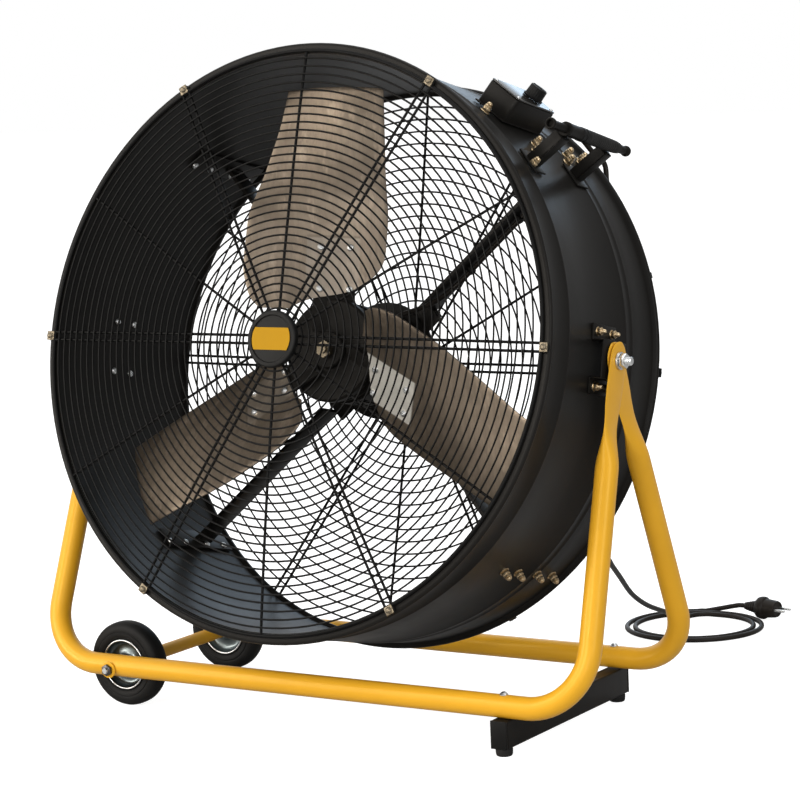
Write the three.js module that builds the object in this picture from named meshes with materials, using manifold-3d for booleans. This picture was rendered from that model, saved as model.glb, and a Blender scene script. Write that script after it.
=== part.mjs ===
// Portable drum fan on a tubular stand with two wheels.
//
// Frame of the part: millimetres, +Z up, floor at z = 0. The fan blows towards -Y and its
// pivots lie on the X axis. Every piece inside the drum is built in the drum's own frame:
// x to the right, y backwards along the fan's axis, z up, origin in the middle of the drum.

import * as THREE from "three";
import { mergeVertices } from "three/addons/utils/BufferGeometryUtils.js";
import Module from "manifold-3d";

const wasm = await Module();
wasm.setup();

// ---------------------------------------------------------------- driving dimensions (mm)

const GAP = 0.3; // left between two pieces that touch

const DRUM = {
  radius: 412, // outside of the sheet
  wall: 3,
  depth: 321, // ring to ring
  ringRise: 8, // of each end ring over the sheet
  ringWidth: 9.5,
  ringLip: 8, // how far the ring's face reaches inside the sheet
  facets: 60,
  tiltDeg: 12.73, // face up, as photographed
  axisHeight: 517.4,
};

const GUARD = {
  wire: 4,
  rimWire: 5.5,
  inset: 4, // of the rim wire inside the drum's outside
  frontDome: 17,
  rearDome: 10,
  frontRings: 6,
  rearRings: 4,
  ringSteps: 22,
  rimSteps: 36,
  spokeSteps: 3,
  pairSpacing: 11.4,
  hubRadius: 34,
  boltRise: 2.6, // of the bolt circle over the drum's outside
  boltHead: 12,
  boltHeight: 7,
};

const CAP = { radius: 40, depth: 12, rimWidth: 5, rimHeight: 3 };

const MOTOR = {
  radius: 72,
  front: -6,
  back: 84,
  shieldDepth: 11,
  shieldInset: 3,
  shaftRadius: 9.5,
};

const MOUNT = { radius: 86, hole: 40, thickness: 4, lugReach: 110, lugWidth: 40 };

const STRUT = {
  anglesDeg: { ur: 45, ul: 135.5, ll: 224, lr: 313.4 },
  width: 40, // along the fan's axis
  thickness: 6,
  footLength: 158,
  footWidth: 34,
  footThickness: 4,
  footMiddle: 66,
  tabLength: 34,
  tabThickness: 4,
};

const HUB = {
  radius: 74,
  depth: 14,
  bossRadius: 27,
  bossHeight: 8,
  armWidth: 60,
  armReach: 160,
  armThickness: 4,
  pitchDeg: 33.5,
  phaseDeg: 93.1, // angle of the first blade from the +X side
  planeY: -41, // where the arms' middle lies on the axis
};

// A blade's outline, seen from the front, from its root at 0 to its tip at 1: the two
// edges across it, and how steeply the sheet runs back across its width.
const BLADE = {
  rootRadius: 97,
  tipGap: 33, // from the tips to the drum's outside
  tipDropFrom: 29, // the stretch at the tip that follows the drum's curve
  thickness: 2.6,
  camber: 7,
  camberRise: 60, // beyond the arms, where the camber reaches its full depth
  stations: [
    { t: 0, left: -44, right: -4, slope: 0.66 },
    { t: 0.046, left: -87, right: 8, slope: 0.66 },
    { t: 0.188, left: -106, right: 43, slope: 0.66 },
    { t: 0.3475, left: -105, right: 60, slope: 0.63 },
    { t: 0.5426, left: -93, right: 63, slope: 0.5 },
    { t: 0.7908, left: -79, right: 63, slope: 0.39 },
    { t: 1, left: -71, right: 62, slope: 0.32 },
  ],
};

const PIVOT = {
  bracketLength: 66,
  flangeFrom: 27,
  flangeTo: 48,
  sheet: 3,
  standoff: 18.4, // from the drum's outside to the outside of the bracket's web
  boltRadius: 6,
  holeClearance: 0.4,
  tabThickness: 3.6,
  washerRadius: 12.5,
  washerThickness: 2.5,
  nutAcross: 19,
  nutHeight: 8,
  tipLength: 9,
  headHeight: 5,
};

const STAND = {
  tubeRadius: 16,
  tubeSides: 12,
  railY: 159,
  railHeight: 66.5,
  legSpread: 22.6, // from the pivot brackets out to where leg and rail would meet
  bendRadius: 84,
  bendSteps: 6,
  flatHalfWidth: 23,
  flatFrom: 66, // measured down the leg from the pivot
  roundFrom: 112,
  earLength: 22,
};

const WHEEL = {
  inset: 122.5, // from where leg and rail would meet, in towards the middle
  y: 125,
  radius: 63,
  width: 34,
  rimRadius: 38,
  rimWidth: 29,
  hubRadius: 13,
  hubWidth: 33,
  axleRadius: 6,
  spacerRadius: 10,
  facets: 20,
};

const FOOT = {
  inset: 122, // likewise
  barWidth: 25,
  barHeight: 39,
  barLength: 350,
  wall: 2.5,
  capThickness: 3,
  padRadius: 12,
  padY: 163.6,
};

const BOX = {
  angleDeg: 54.6,
  length: 104,
  width: 57,
  height: 33,
  lid: 3,
  middleY: -2,
  plate: 2.5,
  plateLip: 5,
  corner: 5,
  knobY: 21,
  knobRadius: 15,
  knobHeight: 18,
};

const HANDLE = {
  angleDeg: 39.3,
  rise: 69, // of the bar over the drum's outside
  barRadius: 6,
  length: 229,
  middleY: -6.5,
  bracketY: [-68, 55],
  bracketWidth: 26,
  bracketDepth: 24,
  bracketSheet: 3,
  gripRadius: 9.6,
  gripFrom: -18,
  gripTo: 76,
  collarRadius: 10,
  collarLength: 18,
  endRadius: 8,
};

const CORD = {
  radius: 4,
  sides: 8,
  coilTurns: 1.93,
  coilSteps: 24, // a turn
  coilSides: 6,
  coilX: 224,
  coilY: 645,
  coilInner: 88,
  coilPitch: 13,
  coilStartDeg: 92,
};

const PLUG = {
  radius: 18.5,
  length: 40,
  neckRadius: 11,
  neckLength: 22,
  pinRadius: 2.4,
  pinLength: 19,
  pinSpacing: 19,
  heading: [0.991, -0.135],
};

// ---------------------------------------------------------------- sizes that follow

const ringRadius = DRUM.radius + DRUM.ringRise;
const guardRadius = DRUM.radius - GUARD.inset;
const boltCircle = DRUM.radius + GUARD.boltRise;
const webX = DRUM.radius + PIVOT.standoff;
const cornerX = webX + STAND.legSpread;
const wheelX = WHEEL.inset - cornerX;
const footX = cornerX - FOOT.inset;
const handleRadius = DRUM.radius + HANDLE.rise;
const bladeTip = DRUM.radius - BLADE.tipGap;

// ---------------------------------------------------------------- finishes

const finish = (color, roughness, metalness) => ({ color, roughness, metalness });
const BLACK_PAINT = finish(0x1a1c1f, 0.42, 0.1);
const BLACK_WIRE = finish(0x121315, 0.38, 0.1);
const BLACK_PLASTIC = finish(0x17181a, 0.5, 0);
const YELLOW_PAINT = finish(0xd7a026, 0.34, 0.05);
const SHEET_METAL = finish(0xa79a86, 0.36, 0.85);
const ZINC = finish(0xb9bec2, 0.3, 0.9);
const RUBBER = finish(0x141414, 0.8, 0);
const CORD_RUBBER = finish(0x1b1712, 0.62, 0);

// ---------------------------------------------------------------- small tools

const v3 = (x, y, z) => new THREE.Vector3(x, y, z);
const rad = THREE.MathUtils.degToRad;

// Turn a geometry's faces outwards, whichever way its rings were listed.
function outward(geometry) {
  const g = mergeVertices(bare(geometry), 1e-3);
  const p = g.getAttribute("position");
  const index = g.getIndex().array;
  const a = v3();
  const b = v3();
  const c = v3();
  let volume = 0;
  for (let i = 0; i < index.length; i += 3) {
    a.fromBufferAttribute(p, index[i]);
    b.fromBufferAttribute(p, index[i + 1]);
    c.fromBufferAttribute(p, index[i + 2]);
    volume += a.dot(b.cross(c));
  }
  if (volume < 0) {
    for (let i = 0; i < index.length; i += 3) {
      [index[i + 1], index[i + 2]] = [index[i + 2], index[i + 1]];
    }
  }
  return g;
}

function bare(geometry) {
  const g = geometry.clone();
  g.deleteAttribute("normal");
  g.deleteAttribute("uv");
  return g;
}

// A closed solid through rings of points, all with the same count, capped at both ends.
function loft(rings) {
  const sides = rings[0].length;
  const points = rings.flat();
  const faces = [];
  for (let i = 0; i < rings.length - 1; i++) {
    const low = i * sides;
    const high = (i + 1) * sides;
    for (let k = 0; k < sides; k++) {
      const next = (k + 1) % sides;
      faces.push(low + k, low + next, high + next);
      faces.push(low + k, high + next, high + k);
    }
  }
  const last = (rings.length - 1) * sides;
  for (let k = 1; k < sides - 1; k++) {
    faces.push(0, k + 1, k);
    faces.push(last, last + k, last + k + 1);
  }
  const g = new THREE.BufferGeometry().setFromPoints(points);
  g.setIndex(faces);
  return outward(g);
}

// A turned solid about the Y axis from a closed profile of [radius, y] pairs.
function turned(profile, facets) {
  const points = profile.map(([r, y]) => new THREE.Vector2(r, y));
  const first = profile[0];
  const last = profile[profile.length - 1];
  const onAxis = first[0] === 0 && last[0] === 0;
  if (!onAxis) points.push(points[0].clone());
  return outward(new THREE.LatheGeometry(points, facets));
}

// A solid disc or rod about Y between two values of y.
const rod = (radius, y0, y1, facets = 20) =>
  turned([[0, y0], [radius, y0], [radius, y1], [0, y1]], facets);

const boxAt = (sizeX, sizeY, sizeZ, x, y, z) =>
  outward(new THREE.BoxGeometry(sizeX, sizeY, sizeZ).translate(x, y, z));

// A hexagon or other regular prism about Y.
const prism = (across, sides, y0, y1) =>
  rod(across / 2 / Math.cos(Math.PI / sides), y0, y1, sides);

function toManifold(geometry) {
  const g = outward(geometry);
  return new wasm.Manifold(
    new wasm.Mesh({
      numProp: 3,
      vertProperties: new Float32Array(g.getAttribute("position").array),
      triVerts: new Uint32Array(g.getIndex().array),
    }),
  );
}

function fromManifold(solid) {
  const m = solid.getMesh();
  const g = new THREE.BufferGeometry();
  const xyz = new Float32Array(m.numVert * 3);
  for (let i = 0; i < m.numVert; i++) {
    xyz.set(m.vertProperties.subarray(i * m.numProp, i * m.numProp + 3), i * 3);
  }
  g.setAttribute("position", new THREE.BufferAttribute(xyz, 3));
  g.setIndex(new THREE.BufferAttribute(new Uint32Array(m.triVerts), 1));
  return g;
}

// Joined and cut solids lose the slivers that booleans leave along faces that nearly meet.
const SLIVER = 0.2;

const join = (...geometries) =>
  fromManifold(wasm.Manifold.union(geometries.map((g) => toManifold(g))).simplify(SLIVER));

const cut = (geometry, ...tools) =>
  fromManifold(
    tools.reduce((s, t) => s.subtract(toManifold(t)), toManifold(geometry)).simplify(SLIVER),
  );

// A round tube along a smooth line through points. Its ends stay square to the first and
// last stretch.
function cable(points, radius, sides, step) {
  const curve = new THREE.CatmullRomCurve3(points, false, "centripetal");
  const length = curve.getLength();
  const steps = Math.max(4, Math.round(length / step));
  const places = curve.getSpacedPoints(steps);
  const nearEnd = radius / length;
  places.splice(1, 0, curve.getPointAt(nearEnd));
  places.splice(-1, 0, curve.getPointAt(1 - nearEnd));
  return sweep(places, radius, sides);
}

// Rings of equal radius along a list of close points, carried along without twist.
function sweep(points, radius, sides) {
  const rings = [];
  let normal = null;
  for (let i = 0; i < points.length; i++) {
    const before = points[Math.max(0, i - 1)];
    const after = points[Math.min(points.length - 1, i + 1)];
    const along = after.clone().sub(before).normalize();
    if (!normal) {
      const seed = Math.abs(along.z) < 0.9 ? v3(0, 0, 1) : v3(1, 0, 0);
      normal = seed.cross(along).normalize();
    }
    normal = normal.clone().addScaledVector(along, -normal.dot(along)).normalize();
    const binormal = along.clone().cross(normal);
    const ring = [];
    for (let k = 0; k < sides; k++) {
      const a = (k / sides) * 2 * Math.PI;
      ring.push(
        points[i]
          .clone()
          .addScaledVector(normal, radius * Math.cos(a))
          .addScaledVector(binormal, radius * Math.sin(a)),
      );
    }
    rings.push(ring);
  }
  return loft(rings);
}

function mesh(name, geometry, { color, roughness, metalness }) {
  const material = new THREE.MeshStandardMaterial({ color, roughness, metalness });
  const m = new THREE.Mesh(geometry, material);
  m.name = name;
  return m;
}

// A group turned about the fan's axis, so that its +x points outwards at the given angle
// and its +z runs round the drum.
function station(angleDeg) {
  const g = new THREE.Group();
  g.rotation.y = -rad(angleDeg);
  return g;
}

// ---------------------------------------------------------------- drum and guards

const ringFace = DRUM.depth / 2;

function drumShell() {
  const outside = DRUM.radius;
  const inside = DRUM.radius - DRUM.wall;
  const lip = inside - DRUM.ringLip + DRUM.wall;
  const shoulder = ringFace - DRUM.ringWidth;
  const half = [
    [lip, ringFace],
    [ringRadius - 2, ringFace],
    [ringRadius, ringFace - 2],
    [ringRadius, shoulder],
    [outside, shoulder - 3],
  ];
  const mirrored = half.map(([r, y]) => [r, -y]).reverse();
  const inner = [
    [lip, -ringFace + DRUM.wall],
    [inside, -shoulder],
    [inside, shoulder],
    [lip, ringFace - DRUM.wall],
  ];
  return turned([...half, ...mirrored, ...inner], DRUM.facets);
}

// Height of a domed guard's wires over its rim, at a distance from the axis.
const dome = (height, r) => height * (1 - (r / guardRadius) ** 2);

function wireRing(radius, y, wire, steps) {
  const h = wire / 2;
  const square = [[-h, -h], [h, -h], [h, h], [-h, h]];
  return turned(square.map(([a, b]) => [radius + a, y + b]), steps);
}

// One radial wire, square in section, which follows the dome behind the rings.
function wireSpoke(angleDeg, offset, height, baseY, outerRadius) {
  const h = GUARD.wire / 2;
  const rings = [];
  for (let i = 0; i <= GUARD.spokeSteps; i++) {
    const t = i / GUARD.spokeSteps;
    const r = GUARD.hubRadius + (outerRadius - GUARD.hubRadius) * t;
    const y = baseY + Math.sign(baseY) * dome(height, r);
    const square = [[-h, -h], [h, -h], [h, h], [-h, h]];
    rings.push(square.map(([a, b]) => v3(r, y + a, offset + b)));
  }
  const g = loft(rings);
  g.applyMatrix4(new THREE.Matrix4().makeRotationY(-rad(angleDeg)));
  return g;
}

// side is -1 for the front guard and +1 for the rear one. The rings lie outside the spokes.
function guard(side, rings, height, pairs) {
  const rimY = side * (ringFace + GAP + GUARD.rimWire / 2);
  const spokeY = side * (ringFace + GAP + GUARD.wire / 2 + 0.2);
  const ringOffset = side * (GUARD.wire - 0.8);
  const parts = [wireRing(guardRadius, rimY, GUARD.rimWire, GUARD.rimSteps)];
  for (let i = 0; i < rings; i++) {
    const t = i / rings;
    const r = GUARD.hubRadius + 5 + (guardRadius - GUARD.hubRadius - 5) * t;
    const y = spokeY + side * dome(height, r) + ringOffset;
    parts.push(wireRing(r, y, GUARD.wire, GUARD.ringSteps));
  }
  for (let k = 0; k < 6; k++) {
    const main = k * 60;
    const offsets = pairs ? [-0.5, 0.5] : [0];
    for (const o of offsets) {
      parts.push(
        wireSpoke(main, o * GUARD.pairSpacing, height, spokeY, boltCircle - 2),
      );
    }
    parts.push(wireSpoke(main + 30, 0, height, spokeY, guardRadius));
    parts.push(guardBolt(side, main));
  }
  return join(...parts);
}

// The bolt and clip plate that hold the guard on the ring.
function guardBolt(side, angleDeg) {
  const y0 = ringFace + GAP;
  const y1 = y0 + GUARD.wire + 0.4;
  const y2 = y1 + GUARD.boltHeight;
  const across = GUARD.boltHead;
  const plate = boxAt(12, y1 - y0, 20, boltCircle - 4, (side * (y0 + y1)) / 2, 0);
  const head = prism(across, 6, y1 - 0.5, y2);
  head.scale(1, side, 1);
  head.translate(boltCircle - 3, 0, 0);
  const g = join(plate, outward(head));
  g.applyMatrix4(new THREE.Matrix4().makeRotationY(-rad(angleDeg)));
  return g;
}

// Outer face of the guard's rings at a radius, counted along side * y.
const guardFace = (height, r) =>
  ringFace + GAP + GUARD.wire / 2 + 0.2 + dome(height, r) + GUARD.wire - 0.8 + GUARD.wire / 2;

function frontCap() {
  const back = -(guardFace(GUARD.frontDome, GUARD.hubRadius + 5) + GAP);
  const front = back - CAP.depth + CAP.rimHeight;
  const inner = CAP.radius - CAP.rimWidth;
  return turned(
    [
      [0, back],
      [CAP.radius - 2, back],
      [CAP.radius, back - 2],
      [CAP.radius, front - CAP.rimHeight + 1],
      [CAP.radius - 1.5, front - CAP.rimHeight],
      [inner, front - CAP.rimHeight],
      [inner - 1.5, front],
      [0, front - 1],
    ],
    24,
  );
}

function rearCap() {
  const face = guardFace(GUARD.rearDome, GUARD.hubRadius + 5) + GAP;
  return rod(CAP.radius, face, face + 4, 24);
}

// ---------------------------------------------------------------- motor and its mount

const motorBody = () => rod(MOTOR.radius, MOTOR.front, MOTOR.back, 24);

// A domed end shield; side is -1 in front, where the shaft passes through it.
function endShield(side) {
  const face = side < 0 ? -MOTOR.front : MOTOR.back;
  const y0 = face + GAP;
  const y1 = y0 + MOTOR.shieldDepth;
  const r = MOTOR.radius - MOTOR.shieldInset;
  const hole = side < 0 ? MOTOR.shaftRadius + GAP : 0;
  const profile = [
    [hole, y0],
    [r, y0],
    [r, y1 - 4],
    [r - 6, y1],
    [hole, y1],
  ];
  return turned(profile.map(([a, y]) => [a, side * y]), 24);
}

const mountFront = MOTOR.back + 2 * GAP + MOTOR.shieldDepth;

// The round plate behind the motor that carries it, with a lug under each strut.
// The plate behind the motor, with a lug for each strut.
function motorMount() {
  const y1 = mountFront + MOUNT.thickness;
  const plate = turned(
    [
      [MOUNT.hole, mountFront],
      [MOUNT.radius, mountFront],
      [MOUNT.radius, y1],
      [MOUNT.hole, y1],
    ],
    24,
  );
  const inner = MOUNT.radius - 20;
  const lugs = Object.values(STRUT.anglesDeg).map((angle) =>
    boxAt(
      MOUNT.lugReach - inner,
      MOUNT.thickness,
      MOUNT.lugWidth,
      (MOUNT.lugReach + inner) / 2,
      (mountFront + y1) / 2,
      0,
    ).applyMatrix4(new THREE.Matrix4().makeRotationY(-rad(angle))),
  );
  return join(plate, ...lugs);
}

// A strut: foot along the drum's wall, arm to the middle and tab on the motor's mount.
function strut() {
  const wallFace = (DRUM.radius - DRUM.wall) * Math.cos(Math.PI / DRUM.facets) - GAP - 0.4;
  const footInner = wallFace - STRUT.footThickness;
  const tabY0 = mountFront + MOUNT.thickness + GAP;
  const tabY1 = tabY0 + STRUT.tabThickness;
  const armInner = MOUNT.lugReach + GAP;
  const tabInner = armInner - STRUT.tabLength;
  const armMiddleY = tabY1 - STRUT.width / 2;
  const foot = boxAt(
    STRUT.footThickness,
    STRUT.footLength,
    STRUT.footWidth,
    footInner + STRUT.footThickness / 2,
    STRUT.footMiddle,
    0,
  );
  const arm = boxAt(
    footInner + 1 - armInner,
    STRUT.width,
    STRUT.thickness,
    (footInner + 1 + armInner) / 2,
    armMiddleY,
    0,
  );
  const tab = boxAt(
    armInner + 2 - tabInner,
    STRUT.tabThickness,
    STRUT.width * 0.8,
    (armInner + 2 + tabInner) / 2,
    (tabY0 + tabY1) / 2,
    0,
  );
  return join(foot, arm, tab);
}

// The motor's lead: out of the motor, along the upper right strut and down to its foot.
function motorCable() {
  const out = v3(Math.SQRT1_2, 0, Math.SQRT1_2);
  const side = v3(Math.SQRT1_2, 0, -Math.SQRT1_2);
  const at = (r, y, s) => v3(0, y, 0).addScaledVector(out, r).addScaledVector(side, s);
  const lift = STRUT.thickness / 2 + CORD.radius + 1;
  return cable(
    [
      at(MOTOR.radius + 2 * GAP, 30, 2),
      at(MOTOR.radius + 16, 32, 3),
      at(MOTOR.radius + 52, 62, lift + 2),
      at(MOTOR.radius + 90, 84, lift),
      at((MOTOR.radius + DRUM.radius) / 2, 86, lift),
      at(DRUM.radius - 72, 86, lift),
      at(DRUM.radius - 27, 74, lift + 3),
      at(DRUM.radius - 14, 40, lift + 16),
    ],
    CORD.radius,
    6,
    20,
  );
}

// ---------------------------------------------------------------- hub and blades

// The shaft between the motor's front and the hub's back.
const motorShaft = () =>
  rod(MOTOR.shaftRadius, MOTOR.front - GAP, HUB.planeY + HUB.depth / 2 + GAP, 16);

// The hub: a thick disc with a boss, and three flat arms set at the blades' pitch.
function hub() {
  const y0 = HUB.planeY + HUB.depth / 2;
  const y1 = HUB.planeY - HUB.depth / 2;
  const disc = turned(
    [
      [0, y0],
      [HUB.radius, y0],
      [HUB.radius, y1 + 3],
      [HUB.radius - 3, y1],
      [HUB.bossRadius, y1],
      [HUB.bossRadius - 1, y1 - HUB.bossHeight],
      [0, y1 - HUB.bossHeight],
    ],
    24,
  );
  const arms = [0, 1, 2].map((k) => {
    const inner = HUB.bossRadius;
    const arm = boxAt(
      HUB.armReach - inner,
      HUB.armThickness,
      HUB.armWidth,
      (HUB.armReach + inner) / 2,
      0,
      0,
    );
    arm.applyMatrix4(new THREE.Matrix4().makeRotationX(rad(HUB.pitchDeg)));
    arm.translate(0, HUB.planeY, 0);
    arm.applyMatrix4(new THREE.Matrix4().makeRotationY(-rad(HUB.phaseDeg + 120 * k)));
    return arm;
  });
  return join(disc, ...arms);
}

// One blade, root to tip, built with its root towards +x of a station group. The sheet
// lies in front of its arm.
function blade() {
  const lift = HUB.armThickness / 2 + GAP;
  const cosPitch = Math.cos(rad(HUB.pitchDeg));
  const across = 6;
  const rings = BLADE.stations.map(({ t: along, left, right, slope }) => {
    const r = BLADE.rootRadius + (bladeTip - BLADE.rootRadius) * along;
    const front = [];
    const back = [];
    for (let i = 0; i <= across; i++) {
      const t = i / across;
      const c = left + (right - left) * t;
      const reach = Math.min(1, Math.max(0, (r - HUB.armReach) / BLADE.camberRise));
      const bow = -BLADE.camber * 4 * t * (1 - t) * reach;
      const y = HUB.planeY + slope * c + bow - lift / cosPitch;
      const atTip = r > bladeTip - BLADE.tipDropFrom;
      const tipDrop = atTip ? r - Math.sqrt(r * r - c * c * 0.35) : 0;
      front.push(v3(r - tipDrop, y - BLADE.thickness / cosPitch, -c));
      back.push(v3(r - tipDrop, y, -c));
    }
    return [...front, ...back.reverse()];
  });
  return loft(rings);
}

function hubNut() {
  const y0 = HUB.planeY - HUB.depth / 2 - HUB.bossHeight - GAP;
  return join(prism(22, 6, y0, y0 - 8), rod(6, y0 - 7, y0 - 12, 12));
}

// ---------------------------------------------------------------- pivots

const tabOuterX = webX + 0.6 + 2 * PIVOT.tabThickness + GAP;

// A hat-section bracket on the drum's wall: two flanges, two sides and a web.
function pivotBracket() {
  const s = PIVOT.sheet;
  const outer = webX;
  const flangeX = DRUM.radius - 0.5;
  const wide = PIVOT.flangeTo;
  const side = PIVOT.flangeFrom;
  const outline = [
    [flangeX, side - s],
    [flangeX, wide],
    [flangeX + s, wide],
    [flangeX + s, side],
    [outer, side],
    [outer, -side],
    [flangeX + s, -side],
    [flangeX + s, -wide],
    [flangeX, -wide],
    [flangeX, -side + s],
    [outer - s, -side + s],
    [outer - s, side - s],
  ];
  const shape = new THREE.Shape(outline.map(([x, z]) => new THREE.Vector2(x, z)));
  const g = new THREE.ExtrudeGeometry(shape, {
    depth: PIVOT.bracketLength,
    bevelEnabled: false,
  });
  g.translate(0, 0, -PIVOT.bracketLength / 2);
  g.applyMatrix4(new THREE.Matrix4().makeRotationX(Math.PI / 2));
  const hole = rod(PIVOT.boltRadius + PIVOT.holeClearance, -20, 20, 16);
  hole.applyMatrix4(new THREE.Matrix4().makeRotationZ(-Math.PI / 2));
  hole.translate(outer, 0, 0);
  return cut(g, hole);
}

// Pieces on the pivot's axis are made about Y with +y outwards and then laid along X.
function onPivot(side, geometry) {
  const g = geometry.clone();
  g.applyMatrix4(new THREE.Matrix4().makeRotationZ(-Math.PI / 2));
  if (side < 0) g.applyMatrix4(new THREE.Matrix4().makeRotationY(Math.PI));
  return outward(g);
}

function pivotBolt() {
  const headTop = webX - PIVOT.sheet - GAP;
  const tip = tabOuterX + PIVOT.washerThickness + PIVOT.nutHeight + PIVOT.tipLength;
  const head = prism(PIVOT.nutAcross, 6, headTop - PIVOT.headHeight, headTop);
  const shank = turned(
    [
      [0, headTop - 1],
      [PIVOT.boltRadius, headTop - 1],
      [PIVOT.boltRadius, tip - 1.5],
      [PIVOT.boltRadius - 1.5, tip],
      [0, tip],
    ],
    16,
  );
  return join(head, shank);
}

function pivotWasher() {
  const y0 = tabOuterX + GAP;
  const hole = PIVOT.boltRadius + PIVOT.holeClearance;
  const y1 = y0 + PIVOT.washerThickness;
  return turned([[hole, y0], [PIVOT.washerRadius, y0], [PIVOT.washerRadius, y1], [hole, y1]], 20);
}

function pivotNut() {
  const y0 = tabOuterX + PIVOT.washerThickness + 2 * GAP;
  const nut = prism(PIVOT.nutAcross, 6, y0, y0 + PIVOT.nutHeight);
  return cut(nut, rod(PIVOT.boltRadius + PIVOT.holeClearance, y0 - 1, y0 + 20, 16));
}

// ---------------------------------------------------------------- stand

// The plane of one U-shaped tube holds the X direction and its legs. side is -1 for the
// front tube and +1 for the rear one; earX is where its flattened ears lie.
function standTube(side, earX) {
  const pivot = v3(earX, 0, DRUM.axisHeight);
  const corner = v3(cornerX, side * STAND.railY, STAND.railHeight);
  const flat = v3(0, -corner.y, pivot.z - corner.z).normalize();
  const flatEnd = pivot.clone().addScaledVector(flat, -STAND.flatFrom);
  const up = flatEnd.clone().sub(corner).normalize();
  const normal = v3(1, 0, 0).cross(flat).normalize();
  const stations = [];
  const earAt = (s) => pivot.clone().addScaledVector(flat, -s);
  const add = (p, along, w, t) => stations.push({ p, along, w, t });
  const w = STAND.flatHalfWidth;
  const thin = PIVOT.tabThickness / 2;
  const r = STAND.tubeRadius;
  const ear = STAND.earLength;
  add(earAt(-ear), flat, w * 0.3, thin);
  add(earAt(-ear * 0.82), flat, w * 0.62, thin);
  add(earAt(-ear * 0.45), flat, w * 0.9, thin);
  add(earAt(0), flat, w, thin);
  add(earAt(STAND.flatFrom), flat, w, thin);
  const span = STAND.roundFrom - STAND.flatFrom;
  for (const t of [0.35, 0.7, 1]) {
    const ease = t * t * (3 - 2 * t);
    add(
      flatEnd.clone().addScaledVector(up, -span * t),
      up,
      w + (r - w) * ease,
      thin + (r - thin) * ease,
    );
  }
  bendStations(corner, up, add, r);
  const rings = stations.map(({ p, along, w: wide, t }) => {
    const across = normal.clone().cross(along).normalize();
    const ring = [];
    for (let k = 0; k < STAND.tubeSides; k++) {
      const a = ((k + 0.5) / STAND.tubeSides) * 2 * Math.PI;
      ring.push(
        p
          .clone()
          .addScaledVector(normal, wide * Math.cos(a))
          .addScaledVector(across, t * Math.sin(a)),
      );
    }
    return ring;
  });
  const whole = [...rings, ...rings.slice().reverse().map(mirrorRing)];
  const hole = rod(PIVOT.boltRadius + PIVOT.holeClearance, -cornerX, cornerX, 16);
  hole.applyMatrix4(new THREE.Matrix4().makeRotationZ(-Math.PI / 2));
  hole.translate(0, 0, DRUM.axisHeight);
  return cut(loft(whole), hole);
}

// The bend from leg to rail, as an arc between the two straight stretches.
function bendStations(corner, up, add, r) {
  const inward = v3(-1, 0, 0);
  const turn = Math.PI - Math.acos(up.dot(inward));
  const reach = STAND.bendRadius * Math.tan(turn / 2);
  const start = corner.clone().addScaledVector(up, reach);
  const down = up.clone().negate();
  const toCentre = inward.clone().addScaledVector(down, -inward.dot(down)).normalize();
  const centre = start.clone().addScaledVector(toCentre, STAND.bendRadius);
  for (let i = 0; i <= STAND.bendSteps; i++) {
    const a = (i / STAND.bendSteps) * turn;
    const p = centre
      .clone()
      .addScaledVector(toCentre, -STAND.bendRadius * Math.cos(a))
      .addScaledVector(down, STAND.bendRadius * Math.sin(a));
    const along = up
      .clone()
      .multiplyScalar(Math.cos(a))
      .addScaledVector(toCentre, -Math.sin(a))
      .normalize();
    add(p, along, r, r);
  }
}

// The same ring on the other side of the stand, listed so that it joins without a twist.
function mirrorRing(ring) {
  return ring.map((p) => v3(-p.x, p.y, p.z));
}

const railSurface = (dz) => Math.sqrt(STAND.tubeRadius ** 2 - dz ** 2);

// ---------------------------------------------------------------- wheels and axle

const axleHeight = WHEEL.radius;
const axleHole = WHEEL.axleRadius + 0.35;

function tyre() {
  const w = WHEEL.width / 2;
  const r = WHEEL.radius;
  return turned(
    [
      [WHEEL.rimRadius + GAP, -w + 3],
      [WHEEL.rimRadius + 8, -w],
      [r - 9, -w + 1],
      [r - 2, -w + 7],
      [r, 0],
      [r - 2, w - 7],
      [r - 9, w - 1],
      [WHEEL.rimRadius + 8, w],
      [WHEEL.rimRadius + GAP, w - 3],
    ],
    WHEEL.facets,
  );
}

// The pressed rim: a band, a dished web and a hub sleeve.
function rim() {
  const w = WHEEL.rimWidth / 2;
  const h = WHEEL.hubWidth / 2;
  const r = WHEEL.rimRadius;
  return turned(
    [
      [axleHole, -h],
      [WHEEL.hubRadius, -h],
      [WHEEL.hubRadius, -5],
      [r - 6, -5],
      [r - 3, -w],
      [r, -w],
      [r, w],
      [r - 3, w],
      [r - 6, 5],
      [WHEEL.hubRadius, 5],
      [WHEEL.hubRadius, h],
      [axleHole, h],
    ],
    WHEEL.facets,
  );
}

function axle() {
  const end = STAND.railY - railSurface(STAND.railHeight - axleHeight) - 2 * GAP;
  return rod(WHEEL.axleRadius, -end, end, 16);
}

function axleSpacer() {
  const end = WHEEL.y - WHEEL.hubWidth / 2 - GAP;
  const r = WHEEL.spacerRadius;
  return turned([[axleHole, -end], [r, -end], [r, end], [axleHole, end]], 16);
}

function axleNut(side) {
  const y0 = STAND.railY + railSurface(STAND.railHeight - axleHeight) + 2 * GAP;
  const g = join(prism(17, 6, y0, y0 + 7), rod(5, y0 + 6, y0 + 11, 12));
  g.scale(1, side, 1);
  return outward(g);
}

// ---------------------------------------------------------------- foot bar

const barTop = STAND.railHeight - STAND.tubeRadius - GAP;
const barBottom = barTop - FOOT.barHeight;

function footBar() {
  const z = (barTop + barBottom) / 2;
  const length = FOOT.barLength;
  const bar = boxAt(FOOT.barWidth, length, FOOT.barHeight, footX, 0, z);
  const bore = boxAt(
    FOOT.barWidth - 2 * FOOT.wall,
    length + 2,
    FOOT.barHeight - 2 * FOOT.wall,
    footX,
    0,
    z,
  );
  return cut(bar, bore);
}

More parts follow.
